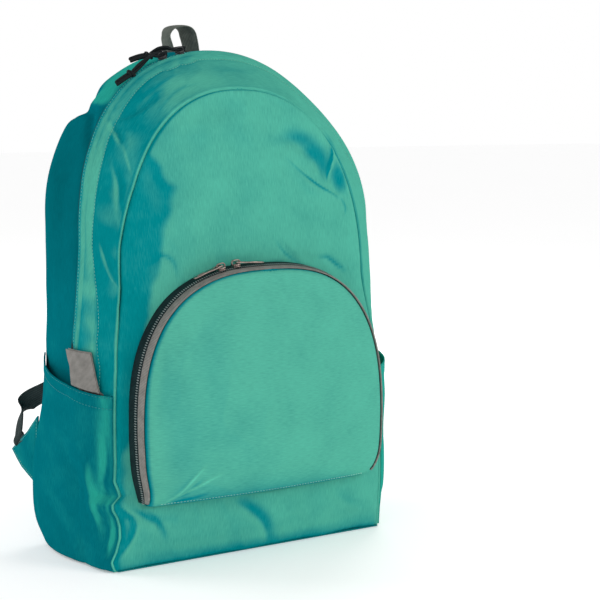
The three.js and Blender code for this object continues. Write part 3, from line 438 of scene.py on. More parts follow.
def folds_at(u, v, folds):
    """Height of listed folds at places on a panel. left and right are a fold's widths on the two sides of its
    path."""
    spots = np.stack([np.ravel(u), np.ravel(v)], axis=1)
    total = np.zeros(len(spots))
    for fold in folds:
        line = smooth_path(fold.path, 20)
        reach = 3 * max(fold.left, fold.right)
        low, high = line.min(axis=0) - reach, line.max(axis=0) + reach
        close = np.flatnonzero(((spots > low) & (spots < high)).all(axis=1))
        if not len(close):
            continue
        here = spots[close]
        nearest = np.full(len(here), np.inf)
        along = np.zeros(len(here))
        on_left = np.zeros(len(here), bool)
        for i in range(len(line) - 1):
            step = line[i + 1] - line[i]
            share = np.clip((here - line[i]) @ step / (step @ step), 0, 1)
            away = here - line[i] - share[:, None] * step
            far = np.hypot(away[:, 0], away[:, 1])
            closer = far < nearest
            nearest[closer] = far[closer]
            along[closer] = (i + share[closer]) / (len(line) - 1)
            on_left[closer] = (step[0] * away[:, 1] - step[1] * away[:, 0])[closer] > 0
        width = np.where(on_left, fold.left, fold.right)
        taper = np.sin(math.pi * np.clip(along, 0.02, 0.98)) ** 0.7
        total[close] += fold.height * taper * bell(nearest, width)
    return total.reshape(np.shape(u))


def patches_at(u, v, patches):
    total = np.zeros(np.shape(u))
    for patch in patches:
        spot = ((u - patch.u) / patch.wide) ** 2 + ((v - patch.v) / patch.tall) ** 2
        total += patch.change * np.exp(-spot)
    return total


def distance_to(u, v, line):
    """Distance of places on a panel to a closely spaced line."""
    spots = np.stack([np.ravel(u), np.ravel(v)], axis=1)
    best = np.empty(len(spots))
    for first in range(0, len(spots), 4000):
        part = spots[first:first + 4000]
        gaps = (part[:, None, 0] - line[None, :, 0]) ** 2 + (part[:, None, 1] - line[None, :, 1]) ** 2
        best[first:first + 4000] = np.sqrt(gaps.min(axis=1))
    return best.reshape(np.shape(u))


def bell(distance, width):
    """1 at no distance, and nearly 0 from two widths on."""
    return np.exp(-((distance / width) ** 2))


def dip(distance, depth, width):
    """How far cloth sinks near a seam."""
    return -depth * bell(distance, width)


def smooth_step(share):
    return share * share * (3 - 2 * share)


def table_value(table, up):
    """The second column of a two-column table, at values of its first."""
    ups, values = np.array(table).T
    return np.interp(up, ups, values)


def grid_normals(grid, middle):
    """Unit normals of a grid on the side away from the middle, and whether its faces turn round."""
    cell = np.cross(grid[1:, 1:] - grid[:-1, :-1], grid[1:, :-1] - grid[:-1, 1:])
    normals = np.zeros(grid.shape)
    for rows in (slice(None, -1), slice(1, None)):
        for columns in (slice(None, -1), slice(1, None)):
            normals[rows, columns] += cell
    vote = np.sum(normals * (grid - np.asarray(middle)))
    return unit(normals * np.sign(vote)), vote < 0


def push(grid, amount, middle=BAG_MIDDLE):
    normals, _ = grid_normals(grid, middle)
    return grid + normals * amount[..., None]


# Painted light: a spot facing this way, roughly towards the key light, takes the cloth's lit colour, and a
# spot facing away takes its shaded colour
PAINTED_LIGHT_DIRECTION = unit(np.array([0.66, -0.70, 0.27]))
SHADE_LOW = 0.10
SHADE_HIGH = 0.80


def shade_of(grid, middle=BAG_MIDDLE, change=0, deep=0):
    """Painted light and shade of the cloth, from how each spot faces the light: 0 is the painted blue shade,
    1 the painted green light. Painted deep shade lies below 0 and a painted glint above 1."""
    normals, _ = grid_normals(grid, middle)
    facing = normals @ PAINTED_LIGHT_DIRECTION
    painted_light = np.clip((facing - SHADE_LOW) / (SHADE_HIGH - SHADE_LOW) + change, 0, 1)
    return smooth_step(painted_light) - deep


def lengths_along(grid, axis):
    """Distance along one axis of a grid, from its first row or column."""
    steps = np.linalg.norm(np.diff(grid, axis=axis), axis=-1)
    start = np.zeros_like(np.take(steps, [0], axis=axis))
    return np.concatenate([start, np.cumsum(steps, axis=axis)], axis=axis)


# Meshes


def link(mesh, name):
    made = bpy.data.objects.new(name, mesh)
    bpy.context.scene.collection.objects.link(made)
    return made


def quads(first, rows, columns, turned):
    spot = first + np.arange(rows * columns).reshape(rows, columns)
    a, b, c, d = spot[:-1, :-1], spot[:-1, 1:], spot[1:, 1:], spot[1:, :-1]
    order = (a, d, c, b) if turned else (a, b, c, d)
    return np.stack([corner.ravel() for corner in order], axis=1)


def rim_quads(loop, inner_start, turned):
    here = np.array(loop)
    after = np.roll(here, -1)
    order = (here, here + inner_start, after + inner_start, after)
    if turned:
        order = order[::-1]
    return np.stack(order, axis=1)


def merged(mesh, distance=1e-6):
    work = bmesh.new()
    work.from_mesh(mesh)
    bmesh.ops.remove_doubles(work, verts=work.verts, dist=distance)
    bmesh.ops.dissolve_degenerate(work, edges=work.edges, dist=distance)
    work.to_mesh(mesh)
    work.free()


def mesh_of(name, points, faces, cloth, painted_light=None):
    """A smooth mesh with its cloth coordinates, in metres along the weave, and its shade."""
    mesh = bpy.data.meshes.new(name)
    mesh.from_pydata(points.tolist(), [], faces)
    uv = mesh.uv_layers.new(name="cloth")
    corners = np.empty(len(mesh.loops), np.int32)
    mesh.loops.foreach_get("vertex_index", corners)
    uv.data.foreach_set("uv", cloth.reshape(-1, 2)[corners].astype(np.float32).ravel())
    if painted_light is not None:
        shade = mesh.attributes.new("painted_light", "FLOAT", "POINT")
        shade.data.foreach_set("value", np.ravel(painted_light).astype(np.float32))
    mesh.shade_smooth()
    return mesh


def wall(name, grid, thickness=WALL, middle=BAG_MIDDLE, painted_light=None, cloth=None):
    """A closed piece of cloth with its outer face on a grid."""
    rows, columns = grid.shape[:2]
    normals, turned = grid_normals(grid, middle)
    inner = grid - normals * thickness
    if cloth is None:
        cloth = np.stack([lengths_along(grid, 1), lengths_along(grid, 0)], axis=2)
    points = np.concatenate([grid.reshape(-1, 3), inner.reshape(-1, 3)])
    count = rows * columns
    spot = np.arange(count).reshape(rows, columns)
    loop = [*spot[0, :-1], *spot[:-1, -1], *spot[-1, :0:-1], *spot[:0:-1, 0]]
    faces = np.concatenate([
        quads(0, rows, columns, turned),
        quads(count, rows, columns, not turned),
        rim_quads(loop, count, turned),
    ])
    flat_cloth = np.tile(cloth.reshape(-1, 2), (2, 1))
    shades = None if painted_light is None else np.tile(np.ravel(painted_light), 2)
    mesh = mesh_of(name, points, faces.tolist(), flat_cloth, shades)
    merged(mesh)
    return link(mesh, name)


def tube(name, path, radius, sides=10, ends=True):
    """A round bar along a path. radius is one number or one for each point."""
    path = np.asarray(path, float)
    along = unit(np.gradient(path, axis=0))
    radius = np.broadcast_to(np.asarray(radius, float), len(path))
    side = unit(np.cross(along[0], [0.31, 0.17, 0.93]))
    rings = []
    for point, heading, size in zip(path, along, radius):
        side = unit(side - heading * (side @ heading))
        other = np.cross(heading, side)
        turn = np.linspace(0, 2 * math.pi, sides, endpoint=False)[:, None]
        rings.append(point + size * (np.cos(turn) * side + np.sin(turn) * other))
    points = np.concatenate(rings)
    faces = []
    for i in range(len(path) - 1):
        for k in range(sides):
            a, b = i * sides + k, i * sides + (k + 1) % sides
            faces.append((a, b, b + sides, a + sides))
    if ends:
        faces.append(tuple(range(sides))[::-1])
        faces.append(tuple((len(path) - 1) * sides + k for k in range(sides)))
    run = np.repeat(lengths_along(path, 0), sides)
    around = np.tile(np.arange(sides) / sides * 2 * math.pi * float(radius.max()), len(path))
    return link(mesh_of(name, points, faces, np.stack([around, run], axis=1)), name)


def joined(name, pieces):
    """Several pieces as one mesh."""
    work = bmesh.new()
    for piece in pieces:
        work.from_mesh(piece.data)
    mesh = bpy.data.meshes.new(name)
    work.to_mesh(mesh)
    work.free()
    for piece in pieces:
        bpy.data.objects.remove(piece)
    return link(mesh, name)


def place_piece(piece, finish, body, slot, *nodes):
    """Gives a finished piece its material, its body and the nodes that it stands for. slot is not used."""
    piece.data.materials.clear()
    piece.data.materials.append(finish)
    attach(piece, body)
    if nodes:
        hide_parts(*nodes)
    return piece


# Finishes


def add_node(tree, kind, settings=None, sockets=None):
    """A new node with its settings. Each socket takes a plain value or another node's output."""
    made = tree.nodes.new(kind)
    for key, value in (settings or {}).items():
        setattr(made, key, value)
    for key, value in (sockets or {}).items():
        source = value.socket if isinstance(value, Value) else value
        if isinstance(source, bpy.types.NodeSocket):
            tree.links.new(source, made.inputs[key])
        else:
            made.inputs[key].default_value = source
    return made


class Value:
    """A shader socket that plain maths can be written with."""

    def __init__(self, finish, socket):
        self.finish = finish
        self.socket = socket

    def maths(self, operation, first, second=0.0):
        return self.finish.node("ShaderNodeMath", {"operation": operation}, {0: first, 1: second})

    def __add__(self, other):
        return self.maths("ADD", self, other)

    def __radd__(self, other):
        return self.maths("ADD", other, self)

    def __sub__(self, other):
        return self.maths("SUBTRACT", self, other)

    def __rsub__(self, other):
        return self.maths("SUBTRACT", other, self)

    def __mul__(self, other):
        return self.maths("MULTIPLY", self, other)

    def __rmul__(self, other):
        return self.maths("MULTIPLY", other, self)

    def __pow__(self, other):
        return self.maths("POWER", self, other)

    def sine(self):
        return self.maths("SINE", self)

    def positive(self):
        return self.maths("ABSOLUTE", self)

    def below_zero(self):
        return self.maths("MINIMUM", self, 0.0)

    def above_one(self):
        return self.maths("MAXIMUM", self, 1.0) - 1.0


class Finish:
    """A material. Constants go straight onto its shader's sockets."""

    def __init__(self, name, **constants):
        self.material = bpy.data.materials.new(name)
        self.material.use_nodes = True
        self.tree = self.material.node_tree
        self.shader = self.tree.nodes["Principled BSDF"]
        for socket, value in constants.items():
            self.shader.inputs[socket.replace("_", " ")].default_value = value

    def node(self, kind, settings=None, sockets=None, out=0):
        return Value(self, add_node(self.tree, kind, settings, sockets).outputs[out])

    def feed(self, socket, value):
        self.tree.links.new(value.socket, self.shader.inputs[socket])

    def mixed(self, factor, low, high):
        sockets = {0: factor, 6: low, 7: high}
        settings = {"data_type": "RGBA", "clamp_factor": True}
        return self.node("ShaderNodeMix", settings, sockets, out=2)

    def place(self):
        return self.node("ShaderNodeTexCoord", out=3)

    def cloth_place(self):
        return self.node("ShaderNodeUVMap", {"uv_map": "cloth"})

    def scaled(self, place, scale):
        return self.node("ShaderNodeVectorMath", {"operation": "MULTIPLY"}, {0: place, 1: scale})

    def part(self, place, axis):
        return self.node("ShaderNodeSeparateXYZ", None, {0: place}, out=axis)

    def clouds(self, place, size, detail=2.0, rough=0.5):
        sockets = {"Vector": place, "Scale": 1 / size, "Detail": detail, "Roughness": rough}
        return self.node("ShaderNodeTexNoise", None, sockets)

    def relief(self, millimetres):
        sockets = {"Height": millimetres, "Distance": 0.001, "Strength": 1.0}
        self.feed("Normal", self.node("ShaderNodeBump", None, sockets))


def colour(red, green, blue):
    """A colour from its screen values, 0 to 255."""
    def linear(value):
        share = value / 255
        return share / 12.92 if share <= 0.04045 else ((share + 0.055) / 1.055) ** 2.4
    return (linear(red), linear(green), linear(blue), 1.0)


THREAD_PITCH = 0.00055
TURN = 2 * math.pi


def painted_light_cloth(name, lit, shaded, grain, mottled):
    """Thin woven nylon with painted light and shade: the painted light attribute mixes a lit green copy and a
    shaded blue copy of its colour, darkens it below 0 for painted deep shade and lightens it above 1 for a
    painted glint. grain says which threads show: its slubs run along the finer of the two sizes. mottled is
    how uneven its shade is."""
    finish = Finish(name, Specular_IOR_Level=0.0)
    place = finish.place()
    cloth = finish.cloth_place()
    painted_light = finish.node("ShaderNodeAttribute", {"attribute_name": "painted_light"}, out=2)
    mottle = finish.clouds(place, 0.030, 4.0) - 0.5
    slub = finish.clouds(finish.scaled(cloth, grain), 1.0, 3.0, 0.6) - 0.5
    crinkle = finish.clouds(place, 0.009, 4.0, 0.55) - 0.5
    shade = painted_light + mottle * mottled + slub * 0.38
    base = finish.mixed(shade, shaded, lit)
    # Brightness: painted deep shade below 0 and a painted glint above 1, with slubs and mottle varying it at
    # random
    bright = 1.0 + slub * 0.45 + mottle * 0.2 + painted_light.below_zero() * 0.6 + painted_light.above_one() * 0.8
    grey = finish.node("ShaderNodeCombineColor", None, {0: bright, 1: bright, 2: bright})
    product = finish.node(
        "ShaderNodeMix", {"data_type": "RGBA", "blend_type": "MULTIPLY"}, {0: 1.0, 6: base, 7: grey}, out=2)
    finish.feed("Base Color", product)
    finish.feed("Roughness", 0.47 + slub * 0.25 + mottle * 0.1)
    across = (finish.part(cloth, 0) * (TURN / THREAD_PITCH)).sine()
    along = (finish.part(cloth, 1) * (TURN / THREAD_PITCH)).sine()
    finish.relief(across * along * 0.02 + slub * 0.10 + crinkle * 0.30)
    return finish.material


def ribbed_tape(name, dark, light, rib, cross, depth):
    """Woven tape: ribs of one size across it and finer threads along it."""
    finish = Finish(name, Specular_IOR_Level=0.08)
    cloth = finish.cloth_place()
    ribs = (finish.part(cloth, 0) * (math.pi / rib)).sine().positive()
    threads = (finish.part(cloth, 1) * (math.pi / cross)).sine().positive()
    wear = finish.clouds(finish.place(), 0.006, 4.0) - 0.5
    finish.feed("Base Color", finish.mixed(ribs * 0.45 + threads * 0.3 + wear * 0.6, dark, light))
    finish.feed("Roughness", 0.72 + wear * 0.2)
    finish.relief(ribs * depth + threads * (depth * 0.4))
    return finish.material


def metal(name, light, dark):
    finish = Finish(name, Metallic=1.0)
    rubbed = finish.clouds(finish.place(), 0.0012, 4.0)
    finish.feed("Base Color", finish.mixed(rubbed, dark, light))
    finish.feed("Roughness", 0.2 + rubbed * 0.25)
    finish.relief(rubbed * 0.01)
    return finish.material


def moulded(name, dark, light, rough):
    finish = Finish(name, Specular_IOR_Level=0.5)
    grain = finish.clouds(finish.place(), 0.0006, 3.0)
    broad = finish.clouds(finish.place(), 0.01, 2.0)
    finish.feed("Base Color", finish.mixed(broad, dark, light))
    finish.feed("Roughness", rough + (grain - 0.5) * 0.2)
    finish.relief(grain * 0.015)
    return finish.material


def braided(name, dark, light):
    """Braided cord: two sets of strands that cross over each other."""
    finish = Finish(name, Specular_IOR_Level=0.12)
    cloth = finish.cloth_place()
    around = finish.part(cloth, 0) * (TURN / 0.0012)
    run = finish.part(cloth, 1) * (TURN / 0.0016)
    braid = (around + run).sine() * 0.5 + (around - run).sine() * 0.5
    finish.feed("Base Color", finish.mixed(braid * 0.5 + 0.5, dark, light))
    finish.feed("Roughness", 0.62 + braid * 0.1)
    finish.relief(braid * 0.12)
    return finish.material


def floor_finish():
    """A pale floor whose far parts glow, so that it runs into the white behind."""
    finish = Finish("pale_floor", Specular_IOR_Level=0.2, Emission_Strength=0.5)
    place = finish.place()
    soft = finish.clouds(place, 0.4, 2.0)
    far = finish.node("ShaderNodeVectorMath", {"operation": "LENGTH"}, {0: place}, out=1)
    glow = finish.node("ShaderNodeMapRange", {"interpolation_type": "SMOOTHSTEP"}, {0: far, 1: 0.5, 2: 2.2})
    finish.feed("Emission Color", finish.mixed(glow, (0.60, 0.60, 0.60, 1), (1.0, 1.0, 1.0, 1)))
    finish.feed("Base Color", finish.mixed(soft, (0.93, 0.93, 0.93, 1), (0.955, 0.955, 0.955, 1)))
    finish.feed("Roughness", 0.75 + soft * 0.1)
    return finish.material


# Each cloth is given as a lit colour and a shaded colour: painted light and painted shade of one green cloth
BODY_CLOTH = painted_light_cloth(
    "body_cloth", colour(82, 178, 157), colour(2, 137, 143), (1300, 130, 1), 0.4)
POCKET_CLOTH = painted_light_cloth(
    "pocket_cloth", colour(86, 180, 158), colour(2, 136, 146), (150, 1400, 1), 0.3)
# A darker copy of the body cloth: painted shade for the bag's sides, back and straps
SHADED_SIDE_CLOTH = painted_light_cloth(
    "side_cloth", colour(40, 164, 148), colour(2, 112, 122), (1300, 130, 1), 0.5)
BLACK_TAPE = ribbed_tape("black_tape", colour(4, 20, 22), colour(44, 66, 68), 0.0011, 0.0007, 0.14)
GREY_TAPE = ribbed_tape("grey_tape", colour(84, 82, 80), colour(178, 174, 168), 0.0012, 0.0009, 0.16)
LOOP_WEBBING = ribbed_tape("loop_webbing", colour(40, 48, 44), colour(128, 134, 126), 0.0018, 0.0009, 0.30)
WEBBING = ribbed_tape("webbing", colour(4, 24, 26), colour(64, 76, 76), 0.0018, 0.0009, 0.30)
TEETH = moulded("zip_teeth", (0.02, 0.024, 0.025, 1), (0.06, 0.065, 0.066, 1), 0.3)
SILVER_TEETH = moulded("silver_teeth", (0.14, 0.17, 0.17, 1), (0.32, 0.36, 0.35, 1), 0.3)
THREAD = moulded("green_thread", colour(70, 168, 150), colour(130, 200, 178), 0.6)
PALE_THREAD = moulded("pale_thread", colour(120, 200, 182), colour(190, 226, 210), 0.6)
# A darker copy of the green thread: painted shade for the stitches on the side pockets
SHADED_SIDE_THREAD = moulded("shaded_side_thread", colour(16, 128, 134), colour(52, 152, 150), 0.6)
DARK_THREAD = moulded("dark_thread", (0.01, 0.014, 0.015, 1), (0.03, 0.035, 0.035, 1), 0.6)
NICKEL = metal("slider_metal", (0.56, 0.43, 0.39, 1), (0.14, 0.10, 0.09, 1))
BLACK_METAL = metal("black_slider_metal", (0.10, 0.10, 0.105, 1), (0.04, 0.04, 0.042, 1))
PLASTIC = moulded("buckle_plastic", (0.01, 0.011, 0.012, 1), (0.02, 0.021, 0.022, 1), 0.4)
CORD = braided("black_cord", (0.002, 0.004, 0.005, 1), (0.020, 0.026, 0.028, 1))


# Rows of small things: stitches and zip teeth


def bead_tree():
    """Lays one bead for each pitch along a path, turned to the path's heading."""
    tree = bpy.data.node_groups.new("bead_row", "GeometryNodeTree")
    tree.interface.new_socket("Path", in_out="INPUT", socket_type="NodeSocketGeometry")
    for name in ("Pitch", "Length", "Width", "Height"):
        tree.interface.new_socket(name, in_out="INPUT", socket_type="NodeSocketFloat")
    tree.interface.new_socket("Finish", in_out="INPUT", socket_type="NodeSocketMaterial")
    tree.interface.new_socket("Row", in_out="OUTPUT", socket_type="NodeSocketGeometry")

    def node(kind, settings=None, sockets=None):
        return add_node(tree, kind, settings, sockets)

    given = node("NodeGroupInput").outputs
    curve = node("GeometryNodeMeshToCurve", None, {"Mesh": given["Path"]}).outputs[0]
    spaced = node("GeometryNodeResampleCurve", {"mode": "LENGTH"}, {"Curve": curve, "Length": given["Pitch"]})
    heading = node("GeometryNodeInputNamedAttribute", {"data_type": "FLOAT_VECTOR"}, {"Name": "heading"})
    turn = node("FunctionNodeAlignRotationToVector", {"axis": "X"}, {"Vector": heading.outputs[0]})
    ball = node("GeometryNodeMeshUVSphere", None, {"Segments": 6, "Rings": 4, "Radius": 0.5}).outputs[0]
    size = node("ShaderNodeCombineXYZ", None,
                {0: given["Length"], 1: given["Width"], 2: given["Height"]}).outputs[0]
    bead = node("GeometryNodeTransform", None, {"Geometry": ball, "Scale": size}).outputs[0]
    smooth = node("GeometryNodeSetShadeSmooth", None, {"Geometry": bead}).outputs[0]
    sockets = {"Points": spaced.outputs[0], "Instance": smooth, "Rotation": turn.outputs[0]}
    laid = node("GeometryNodeInstanceOnPoints", None, sockets).outputs[0]
    real = node("GeometryNodeRealizeInstances", None, {"Geometry": laid}).outputs[0]
    finished = node("GeometryNodeSetMaterial", None, {"Geometry": real, "Material": given["Finish"]})
    node("NodeGroupOutput", None, {0: finished.outputs[0]})
    return tree


BEAD_TREE = bead_tree()


def bead_rows(name, paths, pitch, size, finish, headings=None):
    """Small beads of a size (along the heading, across it, out) in rows along paths. The heading is
    each path's own direction unless headings are given."""
    points = []
    edges = []
    turned = []
    for k, path in enumerate(paths):
        path = np.asarray(path, float)
        first = len(points)
        points += path.tolist()
        edges += [(first + i, first + i + 1) for i in range(len(path) - 1)]
        turned.append(unit(np.gradient(path, axis=0)) if headings is None else headings[k])
    mesh = bpy.data.meshes.new(name)
    mesh.from_pydata(points, edges, [])
    heading = mesh.attributes.new("heading", "FLOAT_VECTOR", "POINT")
    heading.data.foreach_set("vector", np.concatenate(turned).astype(np.float32).ravel())
    made = link(mesh, name + "_path")
    rows = made.modifiers.new("rows", "NODES")
    rows.node_group = BEAD_TREE
    values = {"Pitch": pitch, "Length": size[0], "Width": size[1], "Height": size[2], "Finish": finish}
    for item in BEAD_TREE.interface.items_tree:
        if item.in_out == "INPUT" and item.name in values:
            rows[item.identifier] = values[item.name]
    bpy.context.view_layer.update()
    shown = made.evaluated_get(bpy.context.evaluated_depsgraph_get())
    plain = bpy.data.meshes.new_from_object(shown)
    made.modifiers.clear()
    bpy.data.objects.remove(made)
    return link(plain, name)


STITCH_PITCH = 0.0029
STITCH = (0.0022, 0.0006, 0.0005)
SEAM_RAISE = 0.0001


def sew(name, rows, thread, slot, pitch=STITCH_PITCH, size=STITCH):
    place_piece(bead_rows(name, rows, pitch, size, thread), thread, "bag", slot)


def row_at(raised, far, depths, ends):
    """A path across a grid's rows, each crossed at its depth from the edge. far is how far each spot
    is from that edge, and ends is how many rows are left out at both ends."""
    path = []
    for k in range(ends, len(raised) - ends):
        path.append([np.interp(-depths[k], -far[k], raised[k, :, axis]) for axis in range(3)])
    return np.array(path)


# Camera, cords and their knots


def make_camera():
    data = bpy.data.cameras.new("camera")
    data.lens = 96
    data.sensor_width = 36
    made = bpy.data.objects.new("camera", data)
    made.location = (-0.732, -1.221, 0.382)
    pitch = math.radians(6.8)
    made.rotation_euler = (math.pi / 2 - pitch, 0, math.radians(-34))
    bpy.context.scene.collection.objects.link(made)
    bpy.context.scene.camera = made


make_camera()

Seat = namedtuple("Seat", "here along side out")


def seat_on(before, here, after, across):
    """A place on a zip: along it, across it and outwards."""
    along = unit(after - before)
    side = unit(across - along * (across @ along))
    return Seat(here, along, side, np.cross(along, side))


def main_zip_seat(x):
    spring = ZIP_LINE.spring * HEIGHT
    rise = ZIP_LINE.crown * HEIGHT - spring
    wide = float(line_half(ZIP_LINE, spring))

    def spot(at):
        z = spring + rise * math.sqrt(1 - min(abs(at + CROWN_LEAN) / wide, 1) ** 2)
        return np.array([at, float(line_back(ZIP_LINE, z)) + ZIP_WIDTH / 2, z])

    seat = seat_on(spot(x - 0.002), spot(x), spot(x + 0.002), np.array([0, 1, 0]))
    lift = SEAM_GAP * 2 + ZIP_THICKNESS + SIDE_PUFF * 0.1
    return seat._replace(here=seat.here + seat.out * lift)


def chain_seat(x):
    power = POCKET_LINE.squareness / 2
    share = (TAPE_WIDTH + SEAM_GAP + CHAIN_WIDTH / 2) / POCKET_STAND

    def spot(at):
        wide = POCKET_HALF - BAND_TAPER * share + CHAIN_RAISE
        facing = min(abs(at) / wide, 1) ** power
        up = math.sqrt(1 - facing ** 2) ** (1 / power)
        z = POCKET_SPRING + (POCKET_TOP - BAND_TAPER * share + CHAIN_RAISE - POCKET_SPRING) * up
        return np.array([at, float(front_y(at, z)) - SEAM_GAP - share * POCKET_STAND, z])

    seat = seat_on(spot(x - 0.002), spot(x), spot(x + 0.002), np.array([0, 1, 0]))
    return seat._replace(here=seat.here + seat.out * SEAM_GAP)


CORD_PULLS = [
    ("rear", REAR_SLIDER_X, REAR_CORD_ROUTE, REAR_TAIL_ROUTE),
    ("fore", FORE_SLIDER_X, FORE_CORD_ROUTE, FORE_TAIL_ROUTE),
]
KNOT_REACH = 0.0012


def knot_line(turns=90):
    """One overhand knot, as a closed loop about 2 across."""
    t = np.linspace(0, 2 * math.pi, turns, endpoint=False)
    x = np.sin(t) + 2 * np.sin(2 * t)
    y = np.cos(t) - 2 * np.cos(2 * t)
    z = -np.sin(3 * t)
    return np.stack([x, y, z * 0.9], axis=1) / 3


def twin_strands(name, line, spread, radius, turns):
    """Two strands that lie side by side and turn slowly round each other."""
    along = unit(np.gradient(line, axis=0))
    side = unit(np.cross(along, [0.2, 0.9, 0.3]))
    other = np.cross(along, side)
    angle = np.linspace(0, turns * TURN, len(line))[:, None]
    offset = (np.cos(angle) * side + np.sin(angle) * other) * spread
    strands = [tube(name + "_a", line + offset, radius, 8), tube(name + "_b", line - offset, radius, 8)]
    return joined(name, strands)


def make_cord_pulls():
    for word, x, route, tail in CORD_PULLS:
        seat = main_zip_seat(x)
        points = np.array(route) + seat.here
        heading = unit(points[-1] - points[-2])
        knot_at = points[-1] + heading * (KNOT_SIZE / 2 + SEAM_GAP)
        line = smooth_path([*points, knot_at - heading * KNOT_REACH], 44)
        cord = twin_strands(word + "_cord_pull", line, CORD_DIAMETER * 0.34, CORD_DIAMETER * 0.39, 0.75)
        place_piece(cord, CORD, "bag", "black_cord", word + "_cord")
        loop = knot_line() * KNOT_SIZE * 0.38
        turned = np.stack([loop @ [0.2, 0.9, 0.3], loop @ [0.9, -0.1, 0.2], loop @ [0.2, -0.4, 0.9]], axis=1)
        closed = np.concatenate([turned, turned[:2]])
        lump = tube(word + "_lump", knot_at + closed, CORD_DIAMETER * 0.42, 8, ends=False)
        core = tube(word + "_core", knot_at + np.outer(np.linspace(-0.0028, 0.0028, 5), heading), 0.0017, 8)
        tails = []
        for k, splay in ((0, -0.0008), (1, 0.0014)):
            free = smooth_path(np.array(tail) + [0, splay, splay * 0.8], 24) + knot_at
            free[-1] += [0, -splay, 0]
            tails.append(tube(f"{word}_tail_{k}", free, CORD_DIAMETER * 0.46, 8))
        knot = joined(word + "_cord_knot", [lump, core, *tails])
        place_piece(knot, CORD, "bag", "black_cord", word + "_knot")


make_cord_pulls()


# Panels


# Where the side is pinched in at the back seam: a place, how far it moves and how far round it
Pinch = namedtuple("Pinch", "x y z right back up reach")
PINCHES = [
    Pinch(-0.105, 0.047, 0.391, 0.0052, -0.0034, -0.0046, 0.016),
    Pinch(-0.110, 0.047, 0.3815, 0.0030, -0.0018, -0.0016, 0.007),
    Pinch(0.109, 0.045, 0.384, -0.0030, -0.0020, -0.0026, 0.014),
    Pinch(0.093, 0.0, 0.385, -0.0042, 0, -0.0034, 0.055),
    Pinch(-0.080, 0.030, 0.410, 0.0016, 0, -0.0022, 0.030),
]


def pinched(grid):
    moved = grid.copy()
    for pinch in PINCHES:
        spot = np.array([pinch.x, pinch.y, pinch.z])
        away = np.linalg.norm(grid - spot, axis=-1)
        share = bell(away, pinch.reach)
        moved += share[..., None] * np.array([pinch.right, pinch.back, pinch.up])
    return moved


def zip_line_at(share, lift, whole=False):
    """A line along the main zip's tape, from its front edge at share 0 to its back edge at 1. The
    whole line runs on below the zip's feet."""
    start, start_out, facing = whole_line(ZIP_LINE)
    end, end_out, _ = whole_line(BACK_SEAM)
    out = unit(start_out + end_out)
    across = end - start
    far = share * ZIP_WIDTH / np.linalg.norm(across, axis=1, keepdims=True)
    puff = (SIDE_PUFF * (0.08 + 0.92 * facing) * 4)[:, None]
    slope = unit(across + out * puff)
    face = unit(np.cross(slope, np.gradient(start, axis=0)))
    face = face * np.sign(np.sum(face * out, axis=1, keepdims=True))
    line = start + across * far + out * (puff * far * (1 - far)) + face * lift
    return line if whole else line[start[:, 2] >= ZIP_FOOT * HEIGHT - 0.001]


# How the front seam wanders on the left side: metres up, metres to the right
Wander = namedtuple("Wander", "up across")
SEAM_WANDER = [
    Wander(0, -0.003),
    Wander(0.009, -0.0055),
    Wander(0.017, -0.001),
    Wander(0.029, 0.003),
    Wander(0.038, 0.0030),
    Wander(0.046, 0.0010),
    Wander(0.053, -0.0030),
    Wander(0.058, -0.0032),
    Wander(0.0645, 0.0040),
    Wander(0.070, 0.0020),
    Wander(0.077, -0.001),
    Wander(0.092, 0),
    Wander(0.17, -0.001),
    Wander(0.22, -0.005),
    Wander(0.27, -0.005),
    Wander(0.32, 0),
    Wander(0.43, 0),
]
WANDER_REACH = 0.022


def wandered(grid):
    """Moves cloth near the left front seam sideways, as the slack seam runs on the real bag."""
    z = grid[..., 2]
    seam_x = -line_half(FRONT_SEAM, z) + lean_at(z)
    far = np.hypot(grid[..., 0] - seam_x, grid[..., 1] - line_back(FRONT_SEAM, z))
    shift = table_value(SEAM_WANDER, z)
    moved = grid.copy()
    moved[..., 0] += shift * bell(far, WANDER_REACH)
    return moved


FRONT_FOLDS = [
    Fold([(0.022, 0.365), (0.045, 0.357), (0.066, 0.342), (0.084, 0.322), (0.095, 0.305)],
         -0.0038, 0.010, 0.007),
    Fold([(0.0880, 0.352), (0.0885, 0.3419), (0.0866, 0.3329), (0.0821, 0.3190)], 0.0016, 0.0024, 0.0024),
    Fold([(0.034, 0.343), (0.0496, 0.327), (0.062, 0.315), (0.080, 0.309), (0.100, 0.302)],
         0.0018, 0.0025, 0.007),
    Fold([(0.019, 0.272), (0.0317, 0.259), (0.0435, 0.249)], -0.0014, 0.003, 0.005),
    Fold([(0.044, 0.258), (0.060, 0.250), (0.0756, 0.252), (0.0958, 0.235)], -0.0016, 0.004, 0.005),
    Fold([(-0.106, 0.31), (-0.112, 0.27), (-0.117, 0.22), (-0.122, 0.17)], -0.0022, 0.006, 0.008),
    Fold([(-0.104, 0.345), (-0.092, 0.325), (-0.083, 0.295)], -0.0012, 0.010, 0.008),
    Fold([(-0.060, 0.375), (-0.035, 0.382), (0.0, 0.383)], -0.0010, 0.008, 0.008),
    Fold([(-0.027, 0.050), (0.003, 0.026), (0.013, 0.004)], -0.0014, 0.006, 0.005),
    Fold([(-0.115, 0.014), (-0.04, 0.010), (0.06, 0.011), (0.115, 0.014)], 0.0012, 0.005, 0.006),
    Fold([(-0.128, 0.050), (-0.105, 0.040), (-0.080, 0.036)], -0.0014, 0.005, 0.005),
    Fold([(0.075, 0.045), (0.095, 0.028), (0.118, 0.020)], -0.0012, 0.006, 0.004),
]
